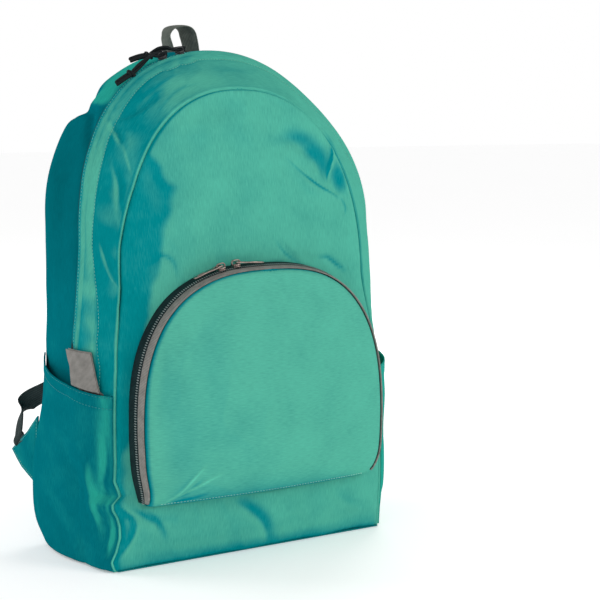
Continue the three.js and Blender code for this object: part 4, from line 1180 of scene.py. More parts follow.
# Thin lines of painted shade (below 0) and painted light (above 0) along the front panel's creases
FRONT_LINES = [
    Fold([(0.036, 0.3405), (0.050, 0.3285), (0.0602, 0.3215), (0.0735, 0.3134), (0.0855, 0.3082),
          (0.0955, 0.3025)], -1.0, 0.0012, 0.0020),
    Fold([(0.0955, 0.3045), (0.1000, 0.2960), (0.0985, 0.287)], -0.7, 0.0014, 0.0014),
    Fold([(0.0872, 0.3520), (0.0876, 0.3419), (0.0858, 0.3329), (0.0812, 0.3190)], -1.3, 0.0011, 0.0011),
    Fold([(0.0890, 0.3520), (0.0894, 0.3419), (0.0876, 0.3329), (0.0830, 0.3190)], 0.7, 0.0010, 0.0010),
    Fold([(0.0180, 0.272), (0.0262, 0.2615), (0.0330, 0.2555), (0.0430, 0.249)], -0.7, 0.0016, 0.0022),
    Fold([(0.0620, 0.2535), (0.0756, 0.2521), (0.0866, 0.2449), (0.0985, 0.238)], -0.7, 0.0024, 0.0020),
    Fold([(-0.100, 0.2549), (-0.090, 0.262), (-0.080, 0.256), (-0.0772, 0.2419)], -0.5, 0.0022, 0.0018),
    Fold([(-0.028, 0.050), (-0.010, 0.038), (0.005, 0.024), (0.014, 0.004)], -0.7, 0.006, 0.003),
    Fold([(-0.104, 0.046), (-0.096, 0.036), (-0.090, 0.022)], -0.6, 0.0018, 0.003),
    Fold([(-0.131, 0.056), (-0.127, 0.049), (-0.123, 0.041), (-0.127, 0.026), (-0.132, 0.014)],
         -1.4, 0.0022, 0.0030),
    Fold([(-0.131, 0.059), (-0.123, 0.051), (-0.1165, 0.0415), (-0.121, 0.028), (-0.127, 0.012)],
         0.6, 0.0014, 0.0014),
    Fold([(-0.118, 0.052), (-0.108, 0.043), (-0.100, 0.037)], -0.55, 0.0018, 0.0022),
    Fold([(-0.110, 0.050), (-0.101, 0.041), (-0.097, 0.030)], -0.45, 0.0016, 0.0020),
]
# Patches of painted shade (below 0) and painted light (above 0) on the front panel
FRONT_PATCHES = [
    Patch(0.045, 0.357, 0.022, 0.007, -0.55),
    Patch(0.066, 0.343, 0.014, 0.010, -0.75),
    Patch(0.077, 0.328, 0.007, 0.012, -0.70),
    Patch(0.096, 0.322, 0.009, 0.014, -0.80),
    Patch(-0.09, 0.245, 0.012, 0.014, 0.35),
    Patch(-0.03, 0.36, 0.06, 0.012, -0.12),
]


# The painted blue shade down the front panel's left side ends at a slack line: metres up, metres across
Zone = namedtuple("Zone", "up across")
PAINTED_SHADE_EDGE = [
    Zone(0, -0.135),
    Zone(0.10, -0.128),
    Zone(0.144, -0.119),
    Zone(0.19, -0.108),
    Zone(0.226, -0.100),
    Zone(0.267, -0.090),
    Zone(0.318, -0.077),
    Zone(0.334, -0.084),
    Zone(0.347, -0.098),
    Zone(0.36, -0.11),
]


def painted_shade_zone(grid):
    edge = table_value(PAINTED_SHADE_EDGE, grid[..., 2]) + noise(grid, 0.018, 15) * 0.006
    share = np.clip((edge - grid[..., 0]) / 0.010 + 0.5, 0, 1)
    return smooth_step(share)


def inside_pocket(x, z):
    """1 well inside the pocket's outline and 0 outside it."""
    half, up = pocket_rising(POCKET_FOOT, 0)
    edge = np.interp(z, up, half, left=0, right=0)
    return np.clip((edge - np.abs(x) - 0.001) / 0.004, 0, 1)


def make_front_panel():
    grid = panel_grid(FRONT_SEAM, front_y)
    x, z = grid[..., 0], grid[..., 2]
    seam, _, _ = whole_line(FRONT_SEAM, 0.001)
    far = distance_to(x, z, seam[:, [0, 2]])
    covered = inside_pocket(x, z)
    free = (1 - bell(far, 0.007)) * (1 - covered)
    drape = noise(grid, 0.055, 11) * 0.0016 + noise(grid * [1, 1, 0.6], 0.024, 12) * 0.0006
    sharp = crumple(grid, 0.05, 13) * 0.0005
    height = folds_at(x, z, FRONT_FOLDS) * (1 - covered) + (drape + sharp) * free
    height += dip(far, 0.0022, 0.0016) + dip(z, 0.0015, 0.0025) - covered * 0.0008
    grid = wandered(push(grid, height))
    # Painted light and shade: painted shade in the seam's gutter, along the panel's foot and over the left
    # zone, and the painted patches and crease lines
    gutter = 0.0018 + 0.0032 * bell(z - 0.04, 0.022)
    gutter_shade = 0.8 - 0.6 * np.clip((0.352 - z) / 0.015, 0, 1) * (x > 0)
    change = patches_at(x, z, FRONT_PATCHES) - 0.7 * painted_shade_zone(grid) + folds_at(x, z, FRONT_LINES)
    change = change - gutter_shade * bell(far, gutter) - 0.35 * bell(z, 0.012)
    painted_light = shade_of(grid, change=change)
    piece = wall("front_panel_cloth", grid, painted_light=painted_light, cloth=grid[..., [0, 2]])
    return place_piece(piece, BODY_CLOTH, "bag", "body_cloth", "front_panel")


# On the gussets a place is (metres from the front edge, metres along from the left foot)
GUSSET_RUN = 1.05
LIP_SPAN = 0.045
SIDE_SPAN = 0.075
LIP_FOLDS = [
    Fold([(0.032, 0.396), (0.0248, 0.406), (0.019, 0.425), (0.0165, 0.445)], -0.0030, 0.0022, 0.005),
    Fold([(0.036, 0.385), (0.027, 0.384), (0.019, 0.380)], -0.0028, 0.0022, 0.004),
    Fold([(0.020, 0.36), (0.012, 0.35), (0.006, 0.33)], -0.0018, 0.003, 0.004),
    Fold([(0.021, 0.30), (0.012, 0.29), (0.004, 0.285)], -0.0014, 0.003, 0.005),
    Fold([(0.020, 0.20), (0.012, 0.22), (0.005, 0.25)], -0.0014, 0.004, 0.004),
    Fold([(0.004, 0.66), (0.010, 0.69), (0.012, 0.72)], -0.0016, 0.005, 0.005),
    Fold([(0.030, 0.50), (0.026, 0.53), (0.030, 0.57)], -0.0008, 0.006, 0.006),
]
# Patches of painted shade (below 0) and painted light (above 0) on the lip
LIP_PATCHES = [
    Patch(0.004, 0.655, 0.008, 0.018, -0.6),
    Patch(0.025, 0.395, 0.018, 0.030, -0.45),
    Patch(0.006, 0.69, 0.010, 0.025, -0.35),
    Patch(0.010, 0.470, 0.014, 0.045, 0.50),
    Patch(0.016, 0.385, 0.012, 0.016, 0.45),
]
# Thin lines of painted shade (below 0) and painted light (above 0) along the lip's creases
LIP_LINES = [
    Fold([(0.024, 0.390), (0.025, 0.420), (0.023, 0.450), (0.024, 0.480)], -0.50, 0.0010, 0.0022),
    Fold([(0.014, 0.400), (0.018, 0.425), (0.019, 0.455)], -0.55, 0.0012, 0.0026),
    Fold([(0.008, 0.430), (0.011, 0.460), (0.010, 0.490)], -0.40, 0.0012, 0.0020),
    Fold([(0.004, 0.365), (0.010, 0.372), (0.017, 0.380)], 0.45, 0.0014, 0.0016),
]
SIDE_FOLDS = [
    Fold([(0.074, 0.398), (0.052, 0.393), (0.030, 0.390), (0.020, 0.378), (0.010, 0.362), (0.0, 0.352)],
         -0.0050, 0.006, 0.006),
    Fold([(0.066, 0.330), (0.045, 0.318), (0.030, 0.290), (0.026, 0.25)], 0.0030, 0.010, 0.014),
    Fold([(0.020, 0.345), (0.030, 0.30), (0.028, 0.25)], -0.0024, 0.007, 0.007),
    Fold([(0.060, 0.30), (0.055, 0.25), (0.060, 0.20)], -0.0020, 0.008, 0.006),
    Fold([(0.010, 0.25), (0.025, 0.225), (0.050, 0.215)], -0.0016, 0.006, 0.006),
    Fold([(0.050, 0.445), (0.030, 0.432), (0.012, 0.44)], 0.0012, 0.012, 0.012),
    Fold([(0.020, 0.63), (0.040, 0.66), (0.060, 0.66)], -0.0030, 0.007, 0.007),
    Fold([(0.050, 0.70), (0.035, 0.75), (0.040, 0.80)], -0.0024, 0.008, 0.008),
]
# Patches of painted light (above 0) and painted shade (below 0) on the side gusset
SIDE_PATCHES = [
    Patch(0.030, 0.33, 0.05, 0.035, -0.60),
    Patch(0.035, 0.428, 0.060, 0.028, 1.90),
    Patch(0.055, 0.470, 0.050, 0.025, 1.50),
    Patch(0.034, 0.404, 0.050, 0.012, 1.30),
    Patch(0.006, 0.440, 0.010, 0.080, -0.60),
]
# Patches of painted deep shade on the side gusset
SIDE_DEEP_SHADE = [
    Patch(0.045, 0.31, 0.05, 0.075, 0.45),
    Patch(0.002, 0.33, 0.007, 0.12, 0.50),
]
LIP_EDGE_DEPTH = 0.0016
# The raised rim beside the front seam, and the thin line of light on it
LIP_RIM = 0.0018
LIP_GLINT = 0.0017
LIP_GLINT_WIDTH = 0.0007
# The lip's second row of stitches: metres up, metres from the zip
Hem = namedtuple("Hem", "up depth")
LIP_HEM = [
    Hem(0.20, 0.026),
    Hem(0.30, 0.0195),
    Hem(0.43, 0.015),
]


def gusset_places(grid, span):
    rows, columns = grid.shape[:2]
    u = np.broadcast_to(np.linspace(0, span, columns), (rows, columns))
    v = np.broadcast_to(np.linspace(0, GUSSET_RUN, rows)[:, None], (rows, columns))
    return u, v


FLAP_REACH = 0.0052
FLAP_LIFT = 0.0026


def lip_over_zip(grid):
    """More columns for the lip's grid, back over the zip, held open at the sliders."""
    line = zip_line_at(0, 0, whole=True)
    face = unit(zip_line_at(0, 0.001, whole=True) - line)
    back = unit(zip_line_at(1, 0, whole=True) - line)
    open_here = np.zeros(len(line))
    for x in (REAR_SLIDER_X, FORE_SLIDER_X):
        far = np.linalg.norm(line - main_zip_seat(x).here, axis=1)
        open_here = np.maximum(open_here, np.exp(-((far / 0.009) ** 6)))
    low = np.clip((ZIP_FOOT * HEIGHT - line[:, 2]) / 0.02 + 1, 0, 1)
    reach = FLAP_REACH * (1 - 0.6 * open_here) * (1 - 0.9 * low)
    lift = FLAP_LIFT * (1 - 0.8 * low)
    added = []
    for share in (0.12, 0.28, 0.46, 0.64, 0.82, 1.0):
        rise = lift * math.sin(min(share / 0.45, 1) * math.pi / 2)
        added.append(line + back * (reach * share)[:, None] + face * rise[:, None])
    return np.concatenate([grid, np.stack(added, axis=1)], axis=1)


def lip_hem(grid):
    return table_value(LIP_HEM, grid[:, -1:, 2])


def lip_distances(grid):
    """How far each spot of the lip is from the front seam, and from the lip's free edge."""
    from_seam = lengths_along(grid, 1)
    return from_seam, from_seam[:, -1:] - from_seam


def lip_surface():
    """The front gusset as it shows, and its places across and along."""
    shares = np.linspace(0, 0.975, 44)
    grid = lip_over_zip(gusset_grid(FRONT_SEAM, ZIP_LINE, LIP_PUFF, shares))
    u, v = gusset_places(grid, LIP_SPAN)
    from_seam, to_zip = lip_distances(grid)
    rim = np.minimum(from_seam, to_zip)
    free = 1 - bell(rim, 0.006)
    height = (noise(grid, 0.03, 21) * 0.0011 + crumple(grid, 0.03, 22) * 0.0004) * free
    height += folds_at(u, v, LIP_FOLDS)
    slack = 0.75 + 0.6 * noise(grid, 0.02, 24)
    height += dip(from_seam, 0.0022, 0.0010) + 0.0010 * slack * bell(from_seam - LIP_RIM, 0.0009)
    hem = lip_hem(grid)
    band = np.clip((hem - to_zip) / (hem - LIP_EDGE_DEPTH), 0, 1)
    height += 0.0012 * np.sin(math.pi * band) + dip(grid[..., 2], 0.0012, 0.0025)
    for depth in (LIP_EDGE_DEPTH, hem):
        pucker = 0.75 + 0.5 * noise(grid, 0.006, 23)
        height += dip(to_zip - depth, 0.0005, 0.0011) * pucker
    grid = pinched(wandered(push(grid, height)))
    return grid, u, v


def lip_painted_light(grid, u, v):
    """Painted light on the lip: along its rim, and between its two rows of stitches, with painted shade and
    light in its patches and crease lines.
    """
    from_seam, to_zip = lip_distances(grid)
    band = np.clip((lip_hem(grid) - to_zip) / 0.004, 0, 1) * np.clip(to_zip / 0.004 + 0.3, 0, 1)
    left = np.clip((0.44 - v) / 0.12, 0, 1)
    patchy = noise(grid, 0.02, 25)
    change = (0.95 + 0.6 * patchy) * band * left + 0.12 * band - 0.12
    glint = 1.0 + 0.9 * noise(grid, 0.012, 26) * left
    change += glint * bell(from_seam - LIP_GLINT, LIP_GLINT_WIDTH)
    change += 0.5 * patchy * left * (1 - band)
    return change + patches_at(u, v, LIP_PATCHES) + folds_at(u, v, LIP_LINES)


def make_front_gusset():
    grid, u, v = lip_surface()
    from_seam, to_zip = lip_distances(grid)
    rim = bell(from_seam - LIP_GLINT, LIP_GLINT_WIDTH)
    glint = np.clip(0.5 + 1.2 * noise(grid, 0.014, 27), 0, 1) * np.clip((0.55 - v) / 0.1, 0, 1)
    painted_light = shade_of(grid, change=lip_painted_light(grid, u, v), deep=-0.5 * rim * glint)
    piece = wall("front_gusset_cloth", grid, painted_light=painted_light)
    place_piece(piece, BODY_CLOTH, "bag", "body_cloth", "front_gusset")
    normals, _ = grid_normals(grid, BAG_MIDDLE)
    raised = grid + normals * SEAM_RAISE
    depths = (np.full(len(grid), LIP_EDGE_DEPTH), lip_hem(grid)[:, 0])
    sew("gusset_stitches", [row_at(raised, to_zip, depth, 3) for depth in depths], THREAD, "body_cloth")


def side_surface():
    grid = gusset_grid(ZIP_LINE, BACK_SEAM, SIDE_PUFF, np.linspace(0, 1, 46))
    u, v = gusset_places(grid, SIDE_SPAN)
    across = lengths_along(grid, 1)
    to_back = across[:, -1:] - across
    free = 1 - bell(np.minimum(across, to_back), 0.008)
    height = (noise(grid, 0.05, 31) * 0.0024 + crumple(grid, 0.045, 32) * 0.0010) * free
    height += noise(grid, 0.02, 33) * 0.0005 * free
    height += folds_at(u, v, SIDE_FOLDS) * np.clip(across / 0.010, 0, 1) * np.clip(to_back / 0.006, 0.2, 1)
    height += dip(to_back, 0.0020, 0.0016) + 0.0009 * bell(to_back - 0.0034, 0.0016)
    height += dip(grid[..., 2], 0.0012, 0.0025)
    return pinched(push(grid, height)), u, v


def make_back_gusset():
    grid, u, v = side_surface()
    # Painted shade over the whole side, with its painted light and deep-shade patches
    painted_light = shade_of(grid, change=patches_at(u, v, SIDE_PATCHES) - 0.45,
                    deep=patches_at(u, v, SIDE_DEEP_SHADE))
    piece = wall("back_gusset_cloth", grid, painted_light=painted_light)
    return place_piece(piece, SHADED_SIDE_CLOTH, "bag", "side_cloth", "back_gusset")


BACK_FOLDS = [
    Fold([(-0.10, 0.33), (-0.05, 0.30), (0.0, 0.295), (0.05, 0.302), (0.10, 0.33)], -0.0030, 0.010, 0.012),
    Fold([(-0.11, 0.22), (-0.05, 0.205), (0.02, 0.21)], -0.0024, 0.009, 0.009),
    Fold([(0.11, 0.235), (0.06, 0.215), (0.03, 0.19)], -0.0022, 0.008, 0.010),
    Fold([(-0.09, 0.14), (-0.03, 0.125), (0.05, 0.135), (0.1, 0.12)], -0.0022, 0.010, 0.010),
    Fold([(-0.12, 0.06), (-0.08, 0.04), (-0.03, 0.035)], -0.0020, 0.007, 0.008),
    Fold([(0.12, 0.07), (0.08, 0.045), (0.04, 0.04)], -0.0020, 0.007, 0.008),
]


def make_back_panel():
    grid = panel_grid(BACK_SEAM, back_y, 0.0028, 100)
    x, z = grid[..., 0], grid[..., 2]
    seam, _, _ = whole_line(BACK_SEAM, 0.001)
    far = distance_to(x, z, seam[:, [0, 2]])
    free = 1 - bell(far, 0.008)
    height = (noise(grid, 0.06, 41) * 0.0022 + crumple(grid, 0.05, 42) * 0.0009) * free
    height += folds_at(x, z, BACK_FOLDS) * free + dip(far, 0.0020, 0.0018) + dip(z, 0.0015, 0.0025)
    grid = pinched(push(grid, height))
    # Painted shade in the panel's dents and painted light on its ridges
    painted_light = shade_of(grid, deep=np.clip(-height * 120, -0.35, 0.5))
    piece = wall("back_panel_cloth", grid, painted_light=painted_light)
    return place_piece(piece, SHADED_SIDE_CLOTH, "bag", "side_cloth", "back_panel")


def make_base_panel():
    """The base, flat on the floor, between the feet of the gussets."""
    front_foot = rising(FRONT_SEAM)
    zip_foot = rising(ZIP_LINE)
    back_foot = rising(BACK_SEAM)
    edge_x = [front_foot.half[0], zip_foot.half[0], back_foot.half[0]]
    edge_y = [float(line_back(line, 0)) for line in (FRONT_SEAM, ZIP_LINE, BACK_SEAM)]
    y = np.linspace(edge_y[0], edge_y[2], 50)
    half = np.interp(y, edge_y, edge_x) - SEAM_GAP
    share = np.linspace(-1, 1, 100)
    x = half[:, None] * share
    grid = np.stack([x, np.broadcast_to(y[:, None], x.shape), np.zeros(x.shape)], axis=2)
    rim = np.minimum(half[:, None] - np.abs(x), np.minimum(y - y[0], y[-1] - y)[:, None])
    grid[..., 2] = 0.0008 * (1 - bell(rim, 0.012)) * (0.5 + 0.5 * noise(grid, 0.04, 51))
    # A fixed mix, mostly the cloth's painted shade colour
    piece = wall("base_cloth", grid, painted_light=np.full(x.shape, 0.2))
    return place_piece(piece, SHADED_SIDE_CLOTH, "bag", "side_cloth", "base_panel")


make_front_panel()
make_front_gusset()
make_back_gusset()
make_back_panel()
make_base_panel()


# Front pocket

POCKET_FOLDS = [
    Fold([(-0.103, 0.0570), (-0.092, 0.066), (-0.082, 0.077), (-0.070, 0.088)], 0.0012, 0.0022, 0.003),
    Fold([(-0.101, 0.0575), (-0.087, 0.066), (-0.073, 0.073), (-0.055, 0.080)], 0.0010, 0.0020, 0.003),
    Fold([(-0.100, 0.059), (-0.088, 0.065), (-0.072, 0.077)], -0.0010, 0.002, 0.002),
    Fold([(-0.112, 0.13), (-0.108, 0.17), (-0.098, 0.20)], -0.0010, 0.008, 0.008),
    Fold([(0.02, 0.235), (0.045, 0.225), (0.065, 0.21)], -0.0008, 0.006, 0.006),
]


# Where thin creases catch the light, painted: their height here is how much lighter they look, and below 0
# how much darker, as painted shade
POCKET_LINES = [
    Fold([(-0.103, 0.0570), (-0.092, 0.066), (-0.082, 0.077), (-0.070, 0.088)], 1.2, 0.0010, 0.0010),
    Fold([(-0.101, 0.0575), (-0.087, 0.066), (-0.073, 0.073), (-0.055, 0.080)], 1.1, 0.0009, 0.0009),
    Fold([(-0.100, 0.0585), (-0.086, 0.066), (-0.072, 0.078)], -0.4, 0.0016, 0.0016),
    Fold([(-0.098, 0.0575), (-0.080, 0.060), (-0.062, 0.0635)], -0.5, 0.0018, 0.0018),
]


POCKET_SEAM_RISE = 0.0035


def make_pocket_panel():
    draw_in = BAND_TAPER + BAND_THICKNESS + SEAM_GAP
    half, up = pocket_rising(POCKET_FOOT, draw_in, 0.0014)
    share = np.linspace(-1, 1, 170)
    x = half[:, None] * share
    z = np.broadcast_to(up[:, None], x.shape)
    belly = POCKET_BULGE * (1 - share ** 2) * belly_share(z - POCKET_FOOT, up[-1] - POCKET_FOOT)
    y = front_y(x, z) - SEAM_GAP * 1.5 - stand_at(z) - belly
    grid = np.stack([x, y, z], axis=2)
    arch = np.stack([np.concatenate([-half, half[::-1]]), np.concatenate([up, up[::-1]])], axis=1)
    far = distance_to(x, z, arch)
    low = z - POCKET_FOOT
    middle = (0, 0, POCKET_FOOT + POCKET_HEIGHT / 2)
    free = 1 - bell(np.minimum(far, low), 0.010)
    height = (noise(grid, 0.06, 61) * 0.0014 + crumple(grid, 0.05, 62) * 0.0004) * free
    height += folds_at(x, z, POCKET_FOLDS) + dip(far, 0.0016, 0.0022) + dip(low, 0.0004, 0.002)
    grid = push(grid, height, middle)
    # Painted light on the creases, in a band round the edge and towards the foot; painted shade in a thin
    # line along the edge and on the darker creases
    light = np.clip(folds_at(x, z, POCKET_LINES), -1, 1)
    edge = 0.45 * bell(far, 0.018) - 1.2 * bell(far, 0.0018)
    change = 0.06 + 0.25 * bell(low, 0.02) + edge + np.minimum(light, 0)
    painted_light = shade_of(grid, middle, change=change, deep=-0.55 * np.maximum(light, 0))
    piece = wall("pocket_cloth_panel", grid, middle=middle, painted_light=painted_light, cloth=grid[..., [0, 2]])
    place_piece(piece, POCKET_CLOTH, "bag", "body_cloth", "pocket_panel")
    normals, _ = grid_normals(grid, middle)
    k = int(np.searchsorted(up, POCKET_FOOT + POCKET_SEAM_RISE))
    sew("pocket_foot_stitches", [(grid + normals * SEAM_RAISE)[k, 8:-8]], PALE_THREAD, "body_cloth")


make_pocket_panel()


def tape_cloth(grid):
    """Cloth coordinates of a tape that runs from row to row of a grid."""
    return np.stack([lengths_along(grid, 0), lengths_along(grid, 1)], axis=2)


def make_band(name, start, end, finish, slot, node):
    grid = np.stack([band_line(share, 0) for share in np.linspace(start, end, 9)], axis=1)
    middle = (0, float(grid[..., 1].mean()), POCKET_FOOT + POCKET_HEIGHT * 0.4)
    piece = wall(name, grid, BAND_THICKNESS, middle, cloth=tape_cloth(grid))
    place_piece(piece, finish, "bag", slot, node)


TAPE_END = TAPE_WIDTH / POCKET_STAND
CHAIN_START = (TAPE_WIDTH + SEAM_GAP) / POCKET_STAND
CHAIN_END = CHAIN_START + CHAIN_WIDTH / POCKET_STAND
BINDING_START = CHAIN_END + SEAM_GAP / POCKET_STAND


def make_pocket_zip():
    make_band("pocket_zip_cloth_tape", 0.0, TAPE_END, BLACK_TAPE, "black_zip", "pocket_zip_tape")
    make_band("pocket_binding_tape", BINDING_START, 1.0, GREY_TAPE, "grey_tape", "pocket_binding")
    make_band("pocket_chain_tape", CHAIN_START, CHAIN_END, BLACK_TAPE, "black_zip", "pocket_zip_chain")
    middle = (CHAIN_START + CHAIN_END) / 2
    rows = [band_line(middle, -0.0003)]
    headings = [unit(band_line(1, 0) - band_line(0, 0))]
    teeth = bead_rows("pocket_zip_teeth", rows, 0.0021, (0.0036, 0.0010, 0.0012), SILVER_TEETH, headings)
    place_piece(teeth, SILVER_TEETH, "bag", "black_zip")


make_pocket_zip()


# Main zip


def make_main_zip():
    shares = np.linspace(0.4, 1, 9)
    grid = np.stack([zip_line_at(share, ZIP_THICKNESS * 0.8) for share in shares], axis=1)
    cloth = tape_cloth(grid)
    grid = pinched(push(grid, noise(grid, 0.012, 71) * 0.0002))
    piece = wall("main_zip_tape", grid, cloth=cloth)
    place_piece(piece, BLACK_TAPE, "bag", "black_zip", "main_zip")
    normals, _ = grid_normals(grid, BAG_MIDDLE)
    middle = 2
    across_zip = unit(grid[:, middle + 1] - grid[:, middle - 1])
    raised = grid + normals[:, middle:middle + 1] * SEAM_RAISE
    rows = [(raised[:, k] + raised[:, k + 1]) / 2 for k in (middle - 1, middle)]
    teeth = bead_rows("main_zip_teeth", rows, 0.0013, (0.0016, 0.0009, 0.0010), TEETH, [across_zip] * 2)
    place_piece(teeth, TEETH, "bag", "black_zip")


make_main_zip()


# Plates with bevelled edges: sliders, pulls, buckles


def plate(name, loops, thickness, bevel, seat, lift=0.0):
    """A plate with bevelled edges on a seat, from loops of (along, side). Loops inside others are
    holes. lift is how far its middle stands off the seat."""
    shape = bpy.data.curves.new(name, "CURVE")
    shape.dimensions = "2D"
    shape.fill_mode = "BOTH"
    scale = 1000
    shape.extrude = (thickness / 2 - bevel) * scale
    shape.bevel_depth = bevel * scale
    shape.bevel_resolution = 2
    shape.offset = -bevel * scale
    for loop in loops:
        spline = shape.splines.new("POLY")
        spline.points.add(len(loop) - 1)
        for point, (x, y) in zip(spline.points, loop):
            point.co = (x * scale, y * scale, 0, 1)
        spline.use_cyclic_u = True
    holder = link(shape, name + "_shape")
    mesh = bpy.data.meshes.new_from_object(holder)
    bpy.data.objects.remove(holder)
    flat = np.empty(len(mesh.vertices) * 3)
    mesh.vertices.foreach_get("co", flat)
    basis = np.stack([seat.along, seat.side, seat.out])
    spots = flat.reshape(-1, 3) / scale @ basis + seat.here + seat.out * lift
    mesh.vertices.foreach_set("co", spots.ravel())
    mesh.update()
    merged(mesh, 1e-5)
    mesh.shade_smooth()
    mesh.set_sharp_from_angle(angle=math.radians(50))
    return link(mesh, name)


def rounded_loop(x, y, half_x, half_y, radius, hole=False, steps=5):
    """A rounded rectangle as a loop."""
    spots = []
    for turn, (side_x, side_y) in enumerate([(1, 1), (-1, 1), (-1, -1), (1, -1)]):
        for k in range(steps + 1):
            angle = math.pi / 2 * (turn + k / steps)
            spots.append((
                x + side_x * (half_x - radius) + radius * math.cos(angle),
                y + side_y * (half_y - radius) + radius * math.sin(angle)))
    return spots[::-1] if hole else spots


def on_seat(seat, spots):
    """Places given as (along, side, out) on a seat, in the frame."""
    spots = np.asarray(spots, float)
    return seat.here + spots @ np.stack([seat.along, seat.side, seat.out])


SLIDER_LENGTH = 0.0066
SLIDER_WIDTH = 0.0075
SLIDER_THICKNESS = 0.0026
BRIDGE_LENGTH = 0.0084
BRIDGE_HEIGHT = 0.0036
BRIDGE_WIDTH = 0.002
PULL_LENGTH = 0.027
PULL_WIDTH = 0.0064
PULL_THICKNESS = 0.0012
PULL_CLEARANCE = 0.0007
PULL_REST = 0.0002
PULL_HINGE = SLIDER_THICKNESS + PULL_THICKNESS / 2 + PULL_CLEARANCE


def slider_piece(name, seat):
    """A zip slider: two plates joined by a post, side flanges and a bridge for the pull."""
    half, wide = SLIDER_LENGTH / 2, SLIDER_WIDTH / 2
    waist = [(-half, -wide * 0.72), (-half * 0.2, -wide), (half * 0.7, -wide), (half, -wide * 0.6),
             (half, wide * 0.6), (half * 0.7, wide), (-half * 0.2, wide), (-half, wide * 0.72)]
    top = plate(name + "_top", [waist], 0.0010, 0.00035, seat, SLIDER_THICKNESS - 0.0005)
    foot = plate(name + "_foot", [waist], 0.0008, 0.0003, seat, 0.0004)
    post_loop = rounded_loop(-half * 0.3, 0, 0.0012, 0.0012, 0.0008)
    post = plate(name + "_post", [post_loop], 0.0020, 0.0002, seat, 0.0013)
    parts = [top, foot, post]
    for side in (-1, 1):
        flange = [(-half * 0.5, side * wide * 0.9, SLIDER_THICKNESS - 0.0012),
                  (half * 0.6, side * wide * 0.9, SLIDER_THICKNESS - 0.0012)]
        parts.append(tube(name + "_flange", on_seat(seat, flange), 0.0005, 8))
    rise = BRIDGE_HEIGHT + SLIDER_THICKNESS
    arch = smooth_path([
        (-BRIDGE_LENGTH * 0.37, 0, SLIDER_THICKNESS * 0.55),
        (-BRIDGE_LENGTH * 0.45, 0, SLIDER_THICKNESS + BRIDGE_HEIGHT * 0.4),
        (-BRIDGE_LENGTH * 0.27, 0, rise - 0.0006),
        (BRIDGE_LENGTH * 0.27, 0, rise - 0.0006),
        (BRIDGE_LENGTH * 0.45, 0, SLIDER_THICKNESS + BRIDGE_HEIGHT * 0.4),
        (BRIDGE_LENGTH * 0.37, 0, SLIDER_THICKNESS * 0.55)], 24)
    for off in (-0.00045, 0.00045):
        parts.append(tube(name + "_bridge", on_seat(seat, arch + [0, off, 0]), 0.00055, 8))
    return joined(name, parts)


def make_main_sliders():
    for word, x in (("rear", REAR_SLIDER_X), ("fore", FORE_SLIDER_X)):
        piece = slider_piece(word + "_slider_metal", main_zip_seat(x))
        place_piece(piece, BLACK_METAL, "bag", "slider_metal", word + "_slider")


def pull_loops():
    """The outline of a pocket pull and its window, from its crossbar along."""
    half = PULL_WIDTH / 2
    bar = PULL_THICKNESS
    edge = [(-bar / 2, 0.9), (0, 1), (0.3, 1), (0.36, 0.86), (0.42, 0.64), (0.6, 0.66), (0.88, 0.8),
            (0.95, 0.74), (1, 0.45)]
    upper = [(x * (PULL_LENGTH if x > 0 else 1), y * half) for x, y in edge]
    outline = [(x, -y) for x, y in upper] + upper[::-1]
    window_half = BRIDGE_WIDTH / 2 + PULL_CLEARANCE
    window_end = math.hypot(BRIDGE_LENGTH / 2, BRIDGE_HEIGHT) + PULL_CLEARANCE
    middle = (bar / 2 + window_end) / 2
    window = rounded_loop(middle, 0, (window_end - bar / 2) / 2, window_half, 0.0006, hole=True)
    eye = rounded_loop(PULL_LENGTH * 0.72, 0, PULL_LENGTH * 0.13, half * 0.34, half * 0.33, hole=True)
    return [outline, window, eye]


def make_pocket_sliders():
    for word, x, turn in (("left", LEFT_SLIDER_X, -1), ("right", RIGHT_SLIDER_X, 1)):
        seat = chain_seat(x)
        piece = slider_piece(word + "_pocket_slider_metal", seat)
        place_piece(piece, NICKEL, "bag", "slider_metal", word + "_pocket_slider")
        hinge = seat.here + seat.out * PULL_HINGE
        tip = chain_seat(x + turn * PULL_LENGTH)
        reach = tip.here + tip.out * PULL_THICKNESS - hinge
        ahead = seat.along * turn
        drop = math.atan2(-(reach @ seat.out), reach @ ahead)
        tilt = min(drop, math.atan((PULL_CLEARANCE - PULL_REST) / (SLIDER_LENGTH / 2)))
        along = ahead * math.cos(tilt) - seat.out * math.sin(tilt)
        side = seat.side * turn
        pull_seat = Seat(hinge, along, side, unit(np.cross(along, side)))
        pull = plate(word + "_pull_metal", pull_loops(), PULL_THICKNESS, 0.0003, pull_seat)
        place_piece(pull, NICKEL, word + "_pull", "slider_metal", word + "_pull")


make_main_sliders()
make_pocket_sliders()


# Side pockets and the tab

POCKET_WALL_OUT = 0.0012
HEM_DEPTH = 0.012
HEM_STITCH_DEPTHS = (0.0016, HEM_DEPTH - 0.0014)
